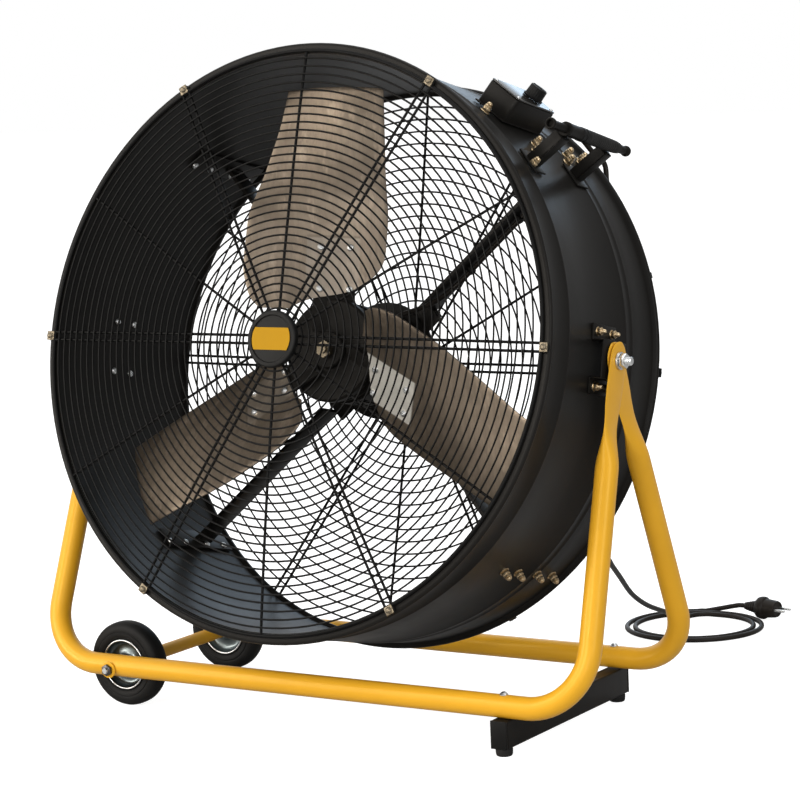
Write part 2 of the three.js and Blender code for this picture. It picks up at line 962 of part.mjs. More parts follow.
function footCap(side) {
  const y = side * (FOOT.barLength / 2 + GAP + FOOT.capThickness / 2);
  const z = (barTop + barBottom) / 2;
  return boxAt(FOOT.barWidth, FOOT.capThickness, FOOT.barHeight, footX, y, z);
}

// A round rubber pad under the bar, made about Y and stood up.
function footPad(side) {
  const top = barBottom - GAP;
  const r = FOOT.padRadius;
  const g = turned([[0, 0], [r - 1.5, 0], [r, 2], [r - 1, top], [0, top]], 20);
  g.applyMatrix4(new THREE.Matrix4().makeRotationX(Math.PI / 2));
  g.translate(footX, side * FOOT.padY, 0);
  return outward(g);
}

// The bolt that comes up through bar and rail; its head and a short thread show on top.
function railBolt(side) {
  const z = STAND.railHeight + STAND.tubeRadius * Math.cos(Math.PI / STAND.tubeSides);
  const g = turned([[0, 0], [6, 0], [6, 2.4], [4.2, 4.6], [0, 5.4]], 12);
  g.applyMatrix4(new THREE.Matrix4().makeRotationX(Math.PI / 2));
  g.translate(footX, side * STAND.railY, z + GAP + 0.4);
  return outward(g);
}

// ---------------------------------------------------------------- control box and handle

const boxBase = DRUM.radius + GAP + 0.2;

// A rectangle with rounded corners, in the plane across a station's outward direction.
function roundedPlate(length, width, corner, x0, x1, middleY) {
  const l = length / 2;
  const w = width / 2;
  const shape = new THREE.Shape();
  shape.moveTo(-l + corner, -w);
  shape.lineTo(l - corner, -w);
  shape.quadraticCurveTo(l, -w, l, -w + corner);
  shape.lineTo(l, w - corner);
  shape.quadraticCurveTo(l, w, l - corner, w);
  shape.lineTo(-l + corner, w);
  shape.quadraticCurveTo(-l, w, -l, w - corner);
  shape.lineTo(-l, -w + corner);
  shape.quadraticCurveTo(-l, -w, -l + corner, -w);
  const g = new THREE.ExtrudeGeometry(shape, {
    depth: x1 - x0,
    bevelEnabled: false,
    curveSegments: 3,
  });
  const turn = new THREE.Matrix4().makeBasis(v3(0, 1, 0), v3(0, 0, 1), v3(1, 0, 0));
  g.applyMatrix4(turn);
  g.translate(x0, middleY, 0);
  return outward(g);
}

function controlBox() {
  const plateTop = boxBase + BOX.plate;
  const top = plateTop + BOX.height;
  const lip = 2 * BOX.plateLip;
  const plate = roundedPlate(
    BOX.length + lip,
    BOX.width,
    BOX.corner,
    boxBase,
    plateTop,
    BOX.middleY,
  );
  const body = roundedPlate(
    BOX.length,
    BOX.width,
    BOX.corner,
    plateTop - 0.5,
    top,
    BOX.middleY,
  );
  return join(plate, body);
}

const lidFace = boxBase + BOX.plate + BOX.height + GAP;

const controlLid = () =>
  roundedPlate(
    BOX.length + 2,
    BOX.width + 2,
    BOX.corner + 1,
    lidFace,
    lidFace + BOX.lid,
    BOX.middleY,
  );

// The round knob, with a raised grip bar across its face.
function speedKnob() {
  const x0 = lidFace + BOX.lid + GAP;
  const r = BOX.knobRadius;
  const h = BOX.knobHeight;
  const body = turned([[0, 0], [r, 0], [r, 3], [r - 1.5, h], [0, h]], 20);
  const bar = boxAt(5, 3, 2 * r - 6, 0, h + 0.5, 0);
  const g = join(body, bar);
  g.applyMatrix4(new THREE.Matrix4().makeRotationZ(-Math.PI / 2));
  g.translate(x0, BOX.knobY, 0);
  return outward(g);
}

// A gland on the box's rear end, with its clamp nut.
function cableGland() {
  const y0 = BOX.middleY + BOX.length / 2 + GAP;
  const g = join(prism(15, 6, y0, y0 + 9), rod(5.6, y0 + 8, y0 + 14, 12));
  g.translate(boxBase + BOX.plate + 14, 0, -12);
  return outward(g);
}

const glandEnd = BOX.middleY + BOX.length / 2 + GAP + 14;

// A channel that stands on the drum and holds the handle: foot, two sides and a saddle.
function handleBracket(y) {
  const s = HANDLE.bracketSheet;
  const x0 = boxBase;
  const x1 = handleRadius - HANDLE.collarRadius - GAP;
  const w = HANDLE.bracketWidth;
  const d = HANDLE.bracketDepth;
  const foot = boxAt(s, w + 14, d + 16, x0 + s / 2, y, 0);
  const back = boxAt(x1 - x0, s, d, (x0 + x1) / 2, y + w / 2 - s / 2, 0);
  const side = boxAt(x1 - x0, w, s, (x0 + x1) / 2, y, d / 2 - s / 2);
  const top = boxAt(s, w, d, x1 - s / 2, y, 0);
  return join(foot, back, side, top);
}

const handleEnds = [
  HANDLE.middleY - HANDLE.length / 2,
  HANDLE.middleY + HANDLE.length / 2,
];

function handleBar() {
  const [y0, y1] = handleEnds;
  const r = HANDLE.barRadius;
  const e = HANDLE.endRadius;
  const profile = [
    [0, y0],
    [e - 1.5, y0],
    [e, y0 + 2],
    [e, y0 + 6],
    [r, y0 + 8],
    [r, y1 - 16],
    [e - 2, y1 - 14],
    [e, y1 - 8],
    [e - 2, y1 - 2],
    [0, y1],
  ];
  const g = turned(profile, 16);
  g.translate(handleRadius, 0, 0);
  return outward(g);
}

// A sleeve round the handle's bar between two values of y.
function sleeve(outer, y0, y1) {
  const hole = HANDLE.barRadius + GAP;
  const g = turned([[hole, y0], [outer, y0], [outer, y1], [hole, y1]], 16);
  g.translate(handleRadius, 0, 0);
  return outward(g);
}

// ---------------------------------------------------------------- cords

// A place in the drum's frame at an angle round it.
const round = (angleDeg, r, y) =>
  v3(r * Math.cos(rad(angleDeg)), y, r * Math.sin(rad(angleDeg)));

const leadRadius = guardRadius - 7;
const leadY = guardFace(GUARD.rearDome, leadRadius) + GAP + CORD.radius;
const leadLastDeg = -37;

// From the gland, over the ring and down behind the rear guard to the last clip.
function supplyLead() {
  const glandX = boxBase + BOX.plate + 14;
  const angleAtGland = BOX.angleDeg - THREE.MathUtils.radToDeg(12 / glandX);
  const points = [
    round(angleAtGland, glandX, glandEnd + GAP),
    round(angleAtGland - 0.2, glandX + 1, glandEnd + 22),
    round(angleAtGland - 3, glandX + 8, glandEnd + 55),
    round(angleAtGland - 6, ringRadius + 9, ringFace - 10),
    round(angleAtGland - 8, ringRadius + 4, ringFace + 16),
    round(angleAtGland - 12, leadRadius + 6, leadY + 3),
  ];
  for (let a = 34; a > leadLastDeg + 2; a -= 6) points.push(round(a, leadRadius, leadY));
  points.push(round(leadLastDeg, leadRadius, leadY));
  return cable(points, CORD.radius, 6, 21);
}

// A saddle clip that holds the lead on the guard: a small block with a groove for it.
function leadClip(angleDeg) {
  const far = leadY + CORD.radius + GAP;
  const g = boxAt(20, 3, 9, leadRadius, far + 1.5, 0);
  const leg = boxAt(
    4,
    far + 1 - (leadY - CORD.radius),
    9,
    leadRadius - 8,
    (far + 1 + leadY - CORD.radius) / 2,
    0,
  );
  const out = join(g, leg);
  out.applyMatrix4(new THREE.Matrix4().makeRotationY(-rad(angleDeg)));
  return out;
}

const tilt = new THREE.Matrix4()
  .makeTranslation(0, 0, DRUM.axisHeight)
  .multiply(new THREE.Matrix4().makeRotationX(-rad(DRUM.tiltDeg)));

const leadEnd = round(leadLastDeg, leadRadius, leadY).applyMatrix4(tilt);
const leadHeading = round(leadLastDeg - 90, 1, 0).transformDirection(tilt);

// The coil on the floor winds outwards and clockwise seen from above.
function coilPoint(turn) {
  const a = rad(CORD.coilStartDeg - 360 * turn);
  const r = CORD.coilInner + CORD.coilPitch * turn;
  return v3(
    CORD.coilX + r * Math.cos(a) * 1.02,
    CORD.coilY + r * Math.sin(a) * 1.0,
    CORD.radius + GAP,
  );
}

function coilPoints() {
  const steps = Math.round(CORD.coilTurns * CORD.coilSteps);
  const points = [];
  for (let i = 0; i <= steps; i++) points.push(coilPoint(i / CORD.coilSteps));
  return points;
}

// Least distance between two stretches of the coil that are not neighbours, less the
// cord's diameter.
function leastGap(points, diameter) {
  let least = Infinity;
  for (let i = 0; i < points.length; i++) {
    for (let j = i + CORD.coilSteps / 2; j < points.length; j++) {
      least = Math.min(least, points[i].distanceTo(points[j]));
    }
  }
  return least - diameter;
}

const plugHeight = PLUG.radius + GAP;

// Where the cord enters the plug's neck.
const plugEntry = v3(262, 752, plugHeight);

// The coil and its tail to the plug, as one tube.
function coil() {
  const points = coilPoints();
  console.log("least gap between turns, mm:", leastGap(points, 2 * CORD.radius).toFixed(2));
  const first = points[0];
  const back = first.clone().sub(points[1]).normalize();
  points.unshift(first.clone().addScaledVector(back, 2 * CORD.radius));
  return sweep([...points, ...tailPoints(points)], CORD.radius, CORD.coilSides);
}

// From the coil's outer end, rising from the floor into the plug's neck.
function tailPoints(points) {
  const last = points[points.length - 1];
  const along = last.clone().sub(points[points.length - 2]).normalize();
  const heading = v3(PLUG.heading[0], PLUG.heading[1], 0);
  const route = new THREE.CatmullRomCurve3(
    [
      last,
      last.clone().addScaledVector(along, 14),
      plugEntry.clone().addScaledVector(heading, -20).setZ(plugHeight - 2),
      plugEntry.clone().addScaledVector(heading, -8),
      plugEntry.clone().addScaledVector(heading, -2 * GAP),
    ],
    false,
    "centripetal",
  );
  return route.getSpacedPoints(6).slice(1);
}

// The hanging stretch, from the last clip to the start of the coil.
function cordDrop() {
  const first = coilPoint(0);
  const back = first.clone().sub(coilPoint(1 / CORD.coilSteps)).normalize();
  const land = first.clone().addScaledVector(back, 2 * CORD.radius + GAP);
  const start = leadEnd.clone().addScaledVector(leadHeading, 2 * GAP);
  const points = [
    start,
    start.clone().addScaledVector(leadHeading, 9),
    start.clone().addScaledVector(leadHeading, 19).add(v3(0, 9, 0)),
    v3(303, 196, 203),
    v3(288, 244, 180),
    v3(269, 300, 154),
    v3(237, 400, 105),
    v3(217, 490, 68),
    v3(204, 580, 38),
    v3(192, 635, 19),
    v3(182, 678, 7.5),
    v3(180.5, 703, land.z),
    v3(184, 716, land.z),
    v3(192, 726.5, land.z),
    land.clone().addScaledVector(back, 9),
    land.clone().addScaledVector(back, 4.5),
    land,
  ];
  return cable(points, CORD.radius, CORD.sides, 21);
}

// Plug pieces are made about Y with +y towards the pins, then laid along the heading.
function layPlug(geometry) {
  const g = geometry.clone();
  const turn = Math.atan2(PLUG.heading[1], PLUG.heading[0]) - Math.PI / 2;
  g.applyMatrix4(new THREE.Matrix4().makeRotationZ(turn));
  g.translate(plugEntry.x, plugEntry.y, plugEntry.z);
  return outward(g);
}

function plug() {
  const n = PLUG.neckLength;
  const end = n + PLUG.length;
  return layPlug(
    join(
      plugPin(-1),
      plugPin(1),
      turned(
        [
          [0, 0],
          [6, 0],
          [PLUG.neckRadius, n],
          [PLUG.radius - 3, n + 4],
          [PLUG.radius, n + 10],
          [PLUG.radius, n + 16],
          [PLUG.radius - 2.5, n + 18],
          [PLUG.radius - 2.5, end],
          [0, end],
        ],
        20,
      ),
    ),
  );
}

function plugPin(side) {
  const y0 = PLUG.neckLength + PLUG.length - 1;
  const y1 = y0 + 1 + PLUG.pinLength;
  const r = PLUG.pinRadius;
  const pin = turned([[0, y0], [r, y0], [r, y1 - 2], [r - 1.2, y1], [0, y1]], 10);
  return pin.translate((side * PLUG.pinSpacing) / 2, 0, 0);
}

// ---------------------------------------------------------------- the scene

const fan = new THREE.Group();
fan.name = "drum_fan";

const drum = new THREE.Group();
drum.position.set(0, 0, DRUM.axisHeight);
drum.rotation.x = -rad(DRUM.tiltDeg);
fan.add(drum);

drum.add(mesh("drum_shell", drumShell(), BLACK_PAINT));
drum.add(
  mesh("front_guard", guard(-1, GUARD.frontRings, GUARD.frontDome, true), BLACK_WIRE),
);
drum.add(mesh("rear_guard", guard(1, GUARD.rearRings, GUARD.rearDome, false), BLACK_WIRE));
drum.add(mesh("front_cap", frontCap(), BLACK_PLASTIC));
drum.add(mesh("rear_cap", rearCap(), BLACK_PLASTIC));

drum.add(mesh("motor_body", motorBody(), BLACK_PAINT));
drum.add(mesh("motor_front_shield", endShield(-1), BLACK_PAINT));
drum.add(mesh("motor_rear_shield", endShield(1), BLACK_PAINT));
drum.add(mesh("motor_mount", motorMount(), BLACK_PAINT));
drum.add(mesh("motor_cable", motorCable(), CORD_RUBBER));
for (const [name, angleDeg] of Object.entries(STRUT.anglesDeg)) {
  const place = station(angleDeg);
  place.add(mesh("strut_" + name, strut(), BLACK_PAINT));
  drum.add(place);
}

drum.add(mesh("motor_shaft", motorShaft(), ZINC));
drum.add(mesh("hub", hub(), BLACK_PAINT));
drum.add(mesh("hub_nut", hubNut(), ZINC));
for (let k = 0; k < 3; k++) {
  const place = station(HUB.phaseDeg + 120 * k);
  place.add(mesh("blade_" + (k + 1), blade(), SHEET_METAL));
  drum.add(place);
}

for (const [name, side] of [["right", 1], ["left", -1]]) {
  const bracket = mesh("pivot_bracket_" + name, pivotBracket(), BLACK_PAINT);
  if (side < 0) bracket.rotation.y = Math.PI;
  drum.add(bracket);
}

const boxPlace = station(BOX.angleDeg);
boxPlace.add(mesh("control_box", controlBox(), BLACK_PLASTIC));
boxPlace.add(mesh("control_lid", controlLid(), BLACK_PLASTIC));
boxPlace.add(mesh("speed_knob", speedKnob(), BLACK_PLASTIC));
boxPlace.add(mesh("cable_gland", cableGland(), BLACK_PLASTIC));
drum.add(boxPlace);

const handlePlace = station(HANDLE.angleDeg);
handlePlace.add(
  mesh("handle_bracket_front", handleBracket(HANDLE.bracketY[0]), BLACK_PAINT),
  mesh("handle_bracket_rear", handleBracket(HANDLE.bracketY[1]), BLACK_PAINT),
  mesh("handle_bar", handleBar(), BLACK_PAINT),
  mesh("handle_grip", sleeve(HANDLE.gripRadius, HANDLE.gripFrom, HANDLE.gripTo), RUBBER),
);
const collarY = HANDLE.bracketY[0] - HANDLE.collarLength / 2;
const collar = sleeve(HANDLE.collarRadius, collarY, collarY + HANDLE.collarLength);
handlePlace.add(mesh("handle_collar", collar, BLACK_PLASTIC));
drum.add(handlePlace);

drum.add(mesh("supply_lead", supplyLead(), CORD_RUBBER));
drum.add(mesh("lead_clip_top", leadClip(20), BLACK_PLASTIC));
drum.add(mesh("lead_clip_bottom", leadClip(leadLastDeg + 4), BLACK_PLASTIC));

const frontEarX = tabOuterX - PIVOT.tabThickness / 2;
const rearEarX = frontEarX - PIVOT.tabThickness - GAP;
fan.add(mesh("front_tube", standTube(-1, frontEarX), YELLOW_PAINT));
fan.add(mesh("rear_tube", standTube(1, rearEarX), YELLOW_PAINT));
for (const [name, side] of [["right", 1], ["left", -1]]) {
  const pieces = [
    mesh("pivot_bolt_" + name, onPivot(side, pivotBolt()), ZINC),
    mesh("pivot_washer_" + name, onPivot(side, pivotWasher()), ZINC),
    mesh("pivot_nut_" + name, onPivot(side, pivotNut()), ZINC),
  ];
  for (const piece of pieces) {
    piece.position.z = DRUM.axisHeight;
    fan.add(piece);
  }
}

for (const [name, side] of [["front", -1], ["rear", 1]]) {
  const wheel = new THREE.Group();
  wheel.position.set(wheelX, side * WHEEL.y, axleHeight);
  wheel.add(mesh("tyre_" + name, tyre(), RUBBER), mesh("rim_" + name, rim(), ZINC));
  const nut = mesh("axle_nut_" + name, axleNut(side), ZINC);
  nut.position.set(wheelX, 0, axleHeight);
  fan.add(wheel, nut);
  fan.add(mesh("foot_cap_" + name, footCap(side), BLACK_PLASTIC));
  fan.add(mesh("foot_pad_" + name, footPad(side), RUBBER));
  fan.add(mesh("rail_bolt_" + name, railBolt(side), ZINC));
}
const axleGroup = new THREE.Group();
axleGroup.position.set(wheelX, 0, axleHeight);
axleGroup.add(mesh("axle", axle(), ZINC), mesh("axle_spacer", axleSpacer(), YELLOW_PAINT));
fan.add(axleGroup);
fan.add(mesh("foot_bar", footBar(), BLACK_PAINT));

fan.add(mesh("cord_drop", cordDrop(), CORD_RUBBER));
fan.add(mesh("cord_coil", coil(), CORD_RUBBER));
fan.add(mesh("plug", plug(), CORD_RUBBER));

export default fan;
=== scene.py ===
# Portable drum fan: a tilting steel drum with wire guards on a tubular stand with wheels.
#
# +Z is up, the floor is at z = 0 and the fan blows towards -Y. Pieces of the drum are modelled
# level, about the Y axis, and then laid where the tilted drum is: that place is DRUM.

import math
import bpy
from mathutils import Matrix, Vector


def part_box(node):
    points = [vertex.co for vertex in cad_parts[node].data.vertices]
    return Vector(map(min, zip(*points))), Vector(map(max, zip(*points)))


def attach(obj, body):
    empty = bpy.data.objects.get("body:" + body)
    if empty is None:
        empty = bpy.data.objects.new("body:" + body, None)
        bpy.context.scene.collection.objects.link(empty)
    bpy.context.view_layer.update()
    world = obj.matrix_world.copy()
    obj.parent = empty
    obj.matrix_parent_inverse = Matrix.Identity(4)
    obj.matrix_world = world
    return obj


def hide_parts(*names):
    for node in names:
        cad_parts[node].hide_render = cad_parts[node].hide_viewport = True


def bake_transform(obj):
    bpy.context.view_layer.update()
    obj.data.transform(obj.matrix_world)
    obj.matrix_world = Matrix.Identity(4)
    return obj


bl_info = {
    "name": "Drum fan",
    "version": (1, 0, 0),
    "blender": (4, 5, 0),
    "location": "View3D > Sidebar > Drum fan",
    "description": "Makes a portable drum fan piece by piece",
    "category": "Add Mesh",
}

import bpy
from bpy.props import FloatProperty, FloatVectorProperty, IntProperty, PointerProperty
from mathutils import Matrix, Vector

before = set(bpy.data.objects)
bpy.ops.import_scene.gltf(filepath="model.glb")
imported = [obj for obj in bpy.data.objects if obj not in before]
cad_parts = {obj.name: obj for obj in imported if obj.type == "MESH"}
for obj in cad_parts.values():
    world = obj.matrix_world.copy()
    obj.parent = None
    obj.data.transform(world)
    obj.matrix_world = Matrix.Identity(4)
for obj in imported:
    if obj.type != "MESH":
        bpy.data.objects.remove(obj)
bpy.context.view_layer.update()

MM = 0.001
TAU = 2 * math.pi

AXIS_HEIGHT = 517.4 * MM
TILT = math.radians(12.73)
DRUM = Matrix.Translation((0, 0, AXIS_HEIGHT)) @ Matrix.Rotation(-TILT, 4, "X")
HERE = Matrix.Identity(4)


# ---------------------------------------------------------------- sizes and colours


def length(name, text, value):
    return FloatProperty(name=name, description=text, default=value, unit="LENGTH", precision=4)


def count(name, text, value):
    return IntProperty(name=name, description=text, default=value, min=1)


def colour(name, text, value):
    return FloatVectorProperty(
        name=name, description=text, default=value, size=3, subtype="COLOR", min=0, max=1
    )


class DrumSizes(bpy.types.PropertyGroup):
    """The drum's sheet and its rings."""

    radius: length("Radius", "Outside of the sheet", 0.412)
    wall: length("Wall", "Thickness of the sheet", 0.003)
    depth: length("Depth", "From one ring's face to the other's", 0.321)
    bead: length("Bead", "Width of each rolled ring", 0.0095)
    ring: length("Ring", "Outside radius of the rings", 0.420)
    steps: count("Steps", "Segments round the drum", 144)


class GuardSizes(bpy.types.PropertyGroup):
    """Wires and pitches of both guards."""

    rim: length("Rim", "Radius of the rim wire", 0.408)
    rim_wire: length("Rim wire", "Diameter of the rim wire", 0.0055)
    ring_wire: length("Ring wire", "Diameter of the rings' wire", 0.0028)
    spoke_wire: length("Spoke wire", "Diameter of the radial wires", 0.004)
    front_pitch: length("Front pitch", "From ring to ring in front", 0.0113)
    rear_pitch: length("Rear pitch", "From ring to ring at the rear", 0.0181)
    pair: length("Pair", "Between the two wires of a pair", 0.0114)
    bolts: length("Bolt circle", "Radius of the circle of clamp bolts", 0.4135)


class BladeSizes(bpy.types.PropertyGroup):
    """The three blades and their hub."""

    thickness: length("Thickness", "Thickness of a blade's sheet", 0.0026)
    root: length("Root", "Radius where the blades begin", 0.058)
    tip: length("Tip", "Radius of the blades' tips", 0.379)
    camber: length("Camber", "Depth of a blade's curve", 0.007)
    hub: length("Hub", "Radius of the hub", 0.074)
    plane: length("Plane", "Where the hub's arms lie along the fan's axis", -0.041)


class StandSizes(bpy.types.PropertyGroup):
    """The bent tubes, the foot bar and the wheels."""

    tube: length("Tube", "Radius of the stand's tube", 0.016)
    rail_y: length("Rail", "Distance of each rail from the middle", 0.159)
    rail_z: length("Rail height", "Height of the rails' middles", 0.0665)
    corner_x: length("Corner", "Where leg and rail would meet if the bend were sharp", 0.453)
    bend: length("Bend", "Radius of the bend", 0.084)
    wheel: length("Wheel", "Radius of the wheels", 0.063)
    wheel_width: length("Wheel width", "Width of a tyre", 0.034)


class CordSizes(bpy.types.PropertyGroup):
    """The mains cord."""

    radius: length("Radius", "Radius of the cord", 0.004)
    coil: length("Coil", "Inner radius of the coil on the floor", 0.088)
    pitch: length("Pitch", "From one turn of the coil to the next", 0.013)


class Colours(bpy.types.PropertyGroup):
    """The paints and metals."""

    black: colour("Black", "Satin black enamel", (0.009, 0.0082, 0.0072))
    yellow: colour("Yellow", "Golden yellow enamel", (0.66, 0.335, 0.02))
    blade: colour("Blade", "Rolled metal of the blades", (0.32, 0.26, 0.20))
    zinc: colour("Zinc", "Bright zinc plate", (0.68, 0.69, 0.69))
    brass: colour("Brass", "Yellow zinc plate of the bolts", (0.58, 0.45, 0.28))
    rubber: colour("Rubber", "Black rubber", (0.016, 0.0155, 0.015))
    label: colour("Label", "Blank pale label", (0.62, 0.62, 0.60))


GROUPS = {
    "fan_drum": DrumSizes,
    "fan_guard": GuardSizes,
    "fan_blade": BladeSizes,
    "fan_stand": StandSizes,
    "fan_cord": CordSizes,
    "fan_colours": Colours,
}


# ---------------------------------------------------------------- shader maths


class Flow:
    """A socket's value, which can be added, multiplied and subtracted."""

    def __init__(self, nodes, socket):
        self.nodes = nodes
        self.socket = socket

    def _maths(self, operation, first, second):
        return self.nodes.node("ShaderNodeMath", {"operation": operation}, {0: first, 1: second})

    def __add__(self, other):
        return self._maths("ADD", self, other)

    def __mul__(self, other):
        return self._maths("MULTIPLY", self, other)

    def __sub__(self, other):
        return self._maths("SUBTRACT", self, other)

    def __rsub__(self, other):
        return self._maths("SUBTRACT", other, self)

    __radd__ = __add__
    __rmul__ = __mul__

    def above(self, low, high):
        """0 below low, 1 above high."""
        limits = {"From Min": low, "From Max": high}
        return self.nodes.node("ShaderNodeMapRange", {}, {"Value": self, **limits})


class Nodes:
    """A tree of shader nodes."""

    def __init__(self, tree):
        self.tree = tree

    def feed(self, socket, value):
        if isinstance(value, Flow):
            self.tree.links.new(value.socket, socket)
        else:
            socket.default_value = value

    def node(self, kind, settings, values, output=0):
        made = self.tree.nodes.new(kind)
        for name, value in settings.items():
            setattr(made, name, value)
        for name, value in values.items():
            self.feed(made.inputs[name], value)
        return Flow(self, made.outputs[output])

    def dot(self, place, direction):
        settings = {"operation": "DOT_PRODUCT"}
        return self.node("ShaderNodeVectorMath", settings, {0: place, 1: direction}, "Value")

    def camera_ray(self):
        return self.node("ShaderNodeLightPath", {}, {}, "Is Camera Ray")


class Finish(Nodes):
    """A material and its surface shader."""

    def __init__(self, name, base, roughness, metallic=0.0, **fixed):
        self.material = bpy.data.materials.new(name)
        self.material.use_nodes = True
        super().__init__(self.material.node_tree)
        self.surface = self.tree.nodes["Principled BSDF"]
        self.base = (*base, 1.0)
        self.put("Base Color", self.base)
        self.put("Roughness", roughness)
        self.put("Metallic", metallic)
        for socket, value in fixed.items():
            self.put(socket.replace("_", " "), value)

    def put(self, socket, value):
        self.feed(self.surface.inputs[socket], value)

    def here(self):
        return self.node("ShaderNodeTexCoord", {}, {}, "Object")

    def place(self, stretch=(1, 1, 1), turned_by=(0, 0, 0)):
        """Object coordinates, stretched and turned."""
        values = {0: self.here(), "Rotation": turned_by, "Scale": stretch}
        return self.node("ShaderNodeMapping", {}, values)

    def noise(self, scale, detail=3, rough=0.5, place=None):
        values = {"Scale": scale, "Detail": detail, "Roughness": rough}
        return self.node("ShaderNodeTexNoise", {}, {"Vector": place or self.place(), **values})

    def mix(self, amount, one, other):
        """From one colour to the other."""
        made = self.tree.nodes.new("ShaderNodeMix")
        made.data_type = "RGBA"
        for socket, value in ((0, amount), (6, one), (7, other)):
            self.feed(made.inputs[socket], value)
        return Flow(self, made.outputs[2])

    def cloudy(self, amount, dark, pale):
        """The base colour, from darker to paler."""
        self.put("Base Color", self.mix(amount, self.shade(dark), self.shade(pale)))

    def shade(self, factor):
        """The base colour, darker or paler."""
        return tuple(min(1.0, c * factor) for c in self.base[:3]) + (1.0,)

    def bump(self, height, distance, strength=1.0):
        values = {"Height": height, "Distance": distance, "Strength": strength}
        self.put("Normal", self.node("ShaderNodeBump", {}, values))


def enamel(name, base, roughness, gloss):
    """Sprayed enamel: a fine orange peel, dust in the low places and faint wiping marks."""
    paint = Finish(name, base, roughness, Specular_IOR_Level=gloss)
    cloud = paint.noise(9, 4, 0.6)
    fine = paint.noise(420, 2)
    wiped = paint.noise(34, 3, 0.6, paint.place((1, 1, 0.18)))
    paint.put("Roughness", roughness - 0.05 + 0.10 * cloud + 0.06 * wiped)
    paint.cloudy(cloud.above(0.35, 0.75), 0.86, 1.16)
    paint.bump(fine, 0.00012, 0.35)
    return paint


def wire_coat():
    """Thick dip coating on the guards' wire."""
    skin = Finish("wire_coat", (0.004, 0.004, 0.004), 0.46, Specular_IOR_Level=0.08)
    skin.put("Roughness", 0.38 + 0.14 * skin.noise(60, 3))
    skin.bump(skin.noise(900, 2), 0.00008, 0.3)
    return skin


def yellow_enamel(colours):
    """Golden enamel, a little deeper in places, with a golden sheen."""
    paint = Finish("yellow_enamel", colours.yellow, 0.3, Specular_IOR_Level=0.45)
    paint.put("Specular Tint", (1.0, 0.86, 0.35, 1.0))
    cloud = paint.noise(7, 4, 0.6)
    speck = paint.noise(160, 3, 0.7)
    paint.cloudy(cloud.above(0.3, 0.7), 0.93, 1.05)
    paint.put("Roughness", 0.24 + 0.12 * cloud + 0.06 * speck)
    paint.bump(paint.noise(300, 2), 0.00015, 0.3)
    return paint


PAD_END = 163 * MM  # where the clamped root of a blade ends
PAD_HALF = 31 * MM
PAD_SOFT = 1.5 * MM
# Width of the line of painted shade along the crease.
CREASE = 3 * MM
PAD_TONE_AND_REFLECTION = (0.1, 0.1, 0.9)  # how pale each blade's clamped root is painted: a little for the plate's own tone, and a painted reflection, strong on the third blade
# The pale colour painted on the roots, mostly as a reflection.
PAD_TONE_AND_REFLECTION_COLOUR = (0.80, 0.78, 0.72, 1)


def blade_metal(colours, angle, pad_tone_and_reflection):
    """Rolled sheet: long fine streaks along the blade, with soft grey clouds, dust and small
    painted highlights.

    The root, which is clamped to the arm, is paler up to a faint creased line across the blade:
    partly the plate's own tone, mostly a painted reflection, strongest on the third blade. The
    creased line itself is painted shade.
    """
    turned_by = (0, math.radians(angle - 90), 0)
    metal = Finish("blade_metal", colours.blade, 0.36, 0.92)
    streaks = metal.noise(150, 5, 0.65, metal.place((1, 1, 0.05), turned_by))
    patches = metal.noise(11, 3, 0.6)
    dust = metal.noise(60, 4, 0.7)
    tone = metal.mix(streaks.above(0.32, 0.68), metal.shade(0.82), metal.shade(1.12))
    tone = metal.mix(patches.above(0.38, 0.66) * 0.75, tone, metal.shade(0.5))
    # Painted highlights: small spots of the base colour made much paler, standing in for glints of
    # light.
    painted_glints = metal.noise(26, 4, 0.7, metal.place((1, 1, 0.35), turned_by))
    tone = metal.mix(painted_glints.above(0.56, 0.72) * 0.6, tone, metal.shade(1.9))

    def from_axis(direction):
        direction = DRUM.to_3x3() @ station(angle).to_3x3() @ Vector(direction)
        return metal.dot(metal.here(), direction) - DRUM.translation.dot(direction)

    along, across = from_axis((1, 0, 0)), from_axis((0, 0, 1))
    pressed = across.above(-PAD_HALF - PAD_SOFT, -PAD_HALF)
    pressed = pressed * (1 - across.above(PAD_HALF, PAD_HALF + PAD_SOFT))
    root = pressed * (1 - along.above(PAD_END - PAD_SOFT, PAD_END + PAD_SOFT))
    # Painted shade: a dark line across the blade along the crease where the clamped root ends.
    painted_crease_shade = along.above(PAD_END - CREASE, PAD_END)
    painted_crease_shade = painted_crease_shade * (1 - along.above(PAD_END, PAD_END + CREASE))
    # Paints the clamped root paler, and makes it less metallic further down: partly the plate's
    # own tone, mostly a painted reflection, strong on the third blade only.
    tone = metal.mix(root * pad_tone_and_reflection, tone, PAD_TONE_AND_REFLECTION_COLOUR)
    tone = metal.mix(painted_crease_shade * pressed * 0.6, tone, metal.shade(0.3))
    metal.put("Base Color", tone)
    metal.put("Roughness", 0.27 + 0.16 * streaks + 0.14 * patches)
    metal.put("Metallic", 0.97 - 0.14 * dust.above(0.5, 0.75) - 0.5 * pad_tone_and_reflection * root)
    metal.bump(streaks, 0.00006, 0.5)
    return metal


def plated(name, base, roughness=0.22):
    """Zinc plate: bright, with a faint spangle and duller handling marks."""
    metal = Finish(name, base, roughness, 1.0)
    spangle = metal.noise(190, 3, 0.6)
    marks = metal.noise(38, 4, 0.65)
    metal.cloudy(spangle.above(0.3, 0.7), 0.84, 1.1)
    metal.put("Roughness", roughness - 0.04 + 0.22 * marks)
    metal.bump(marks, 0.00005, 0.4)
    return metal


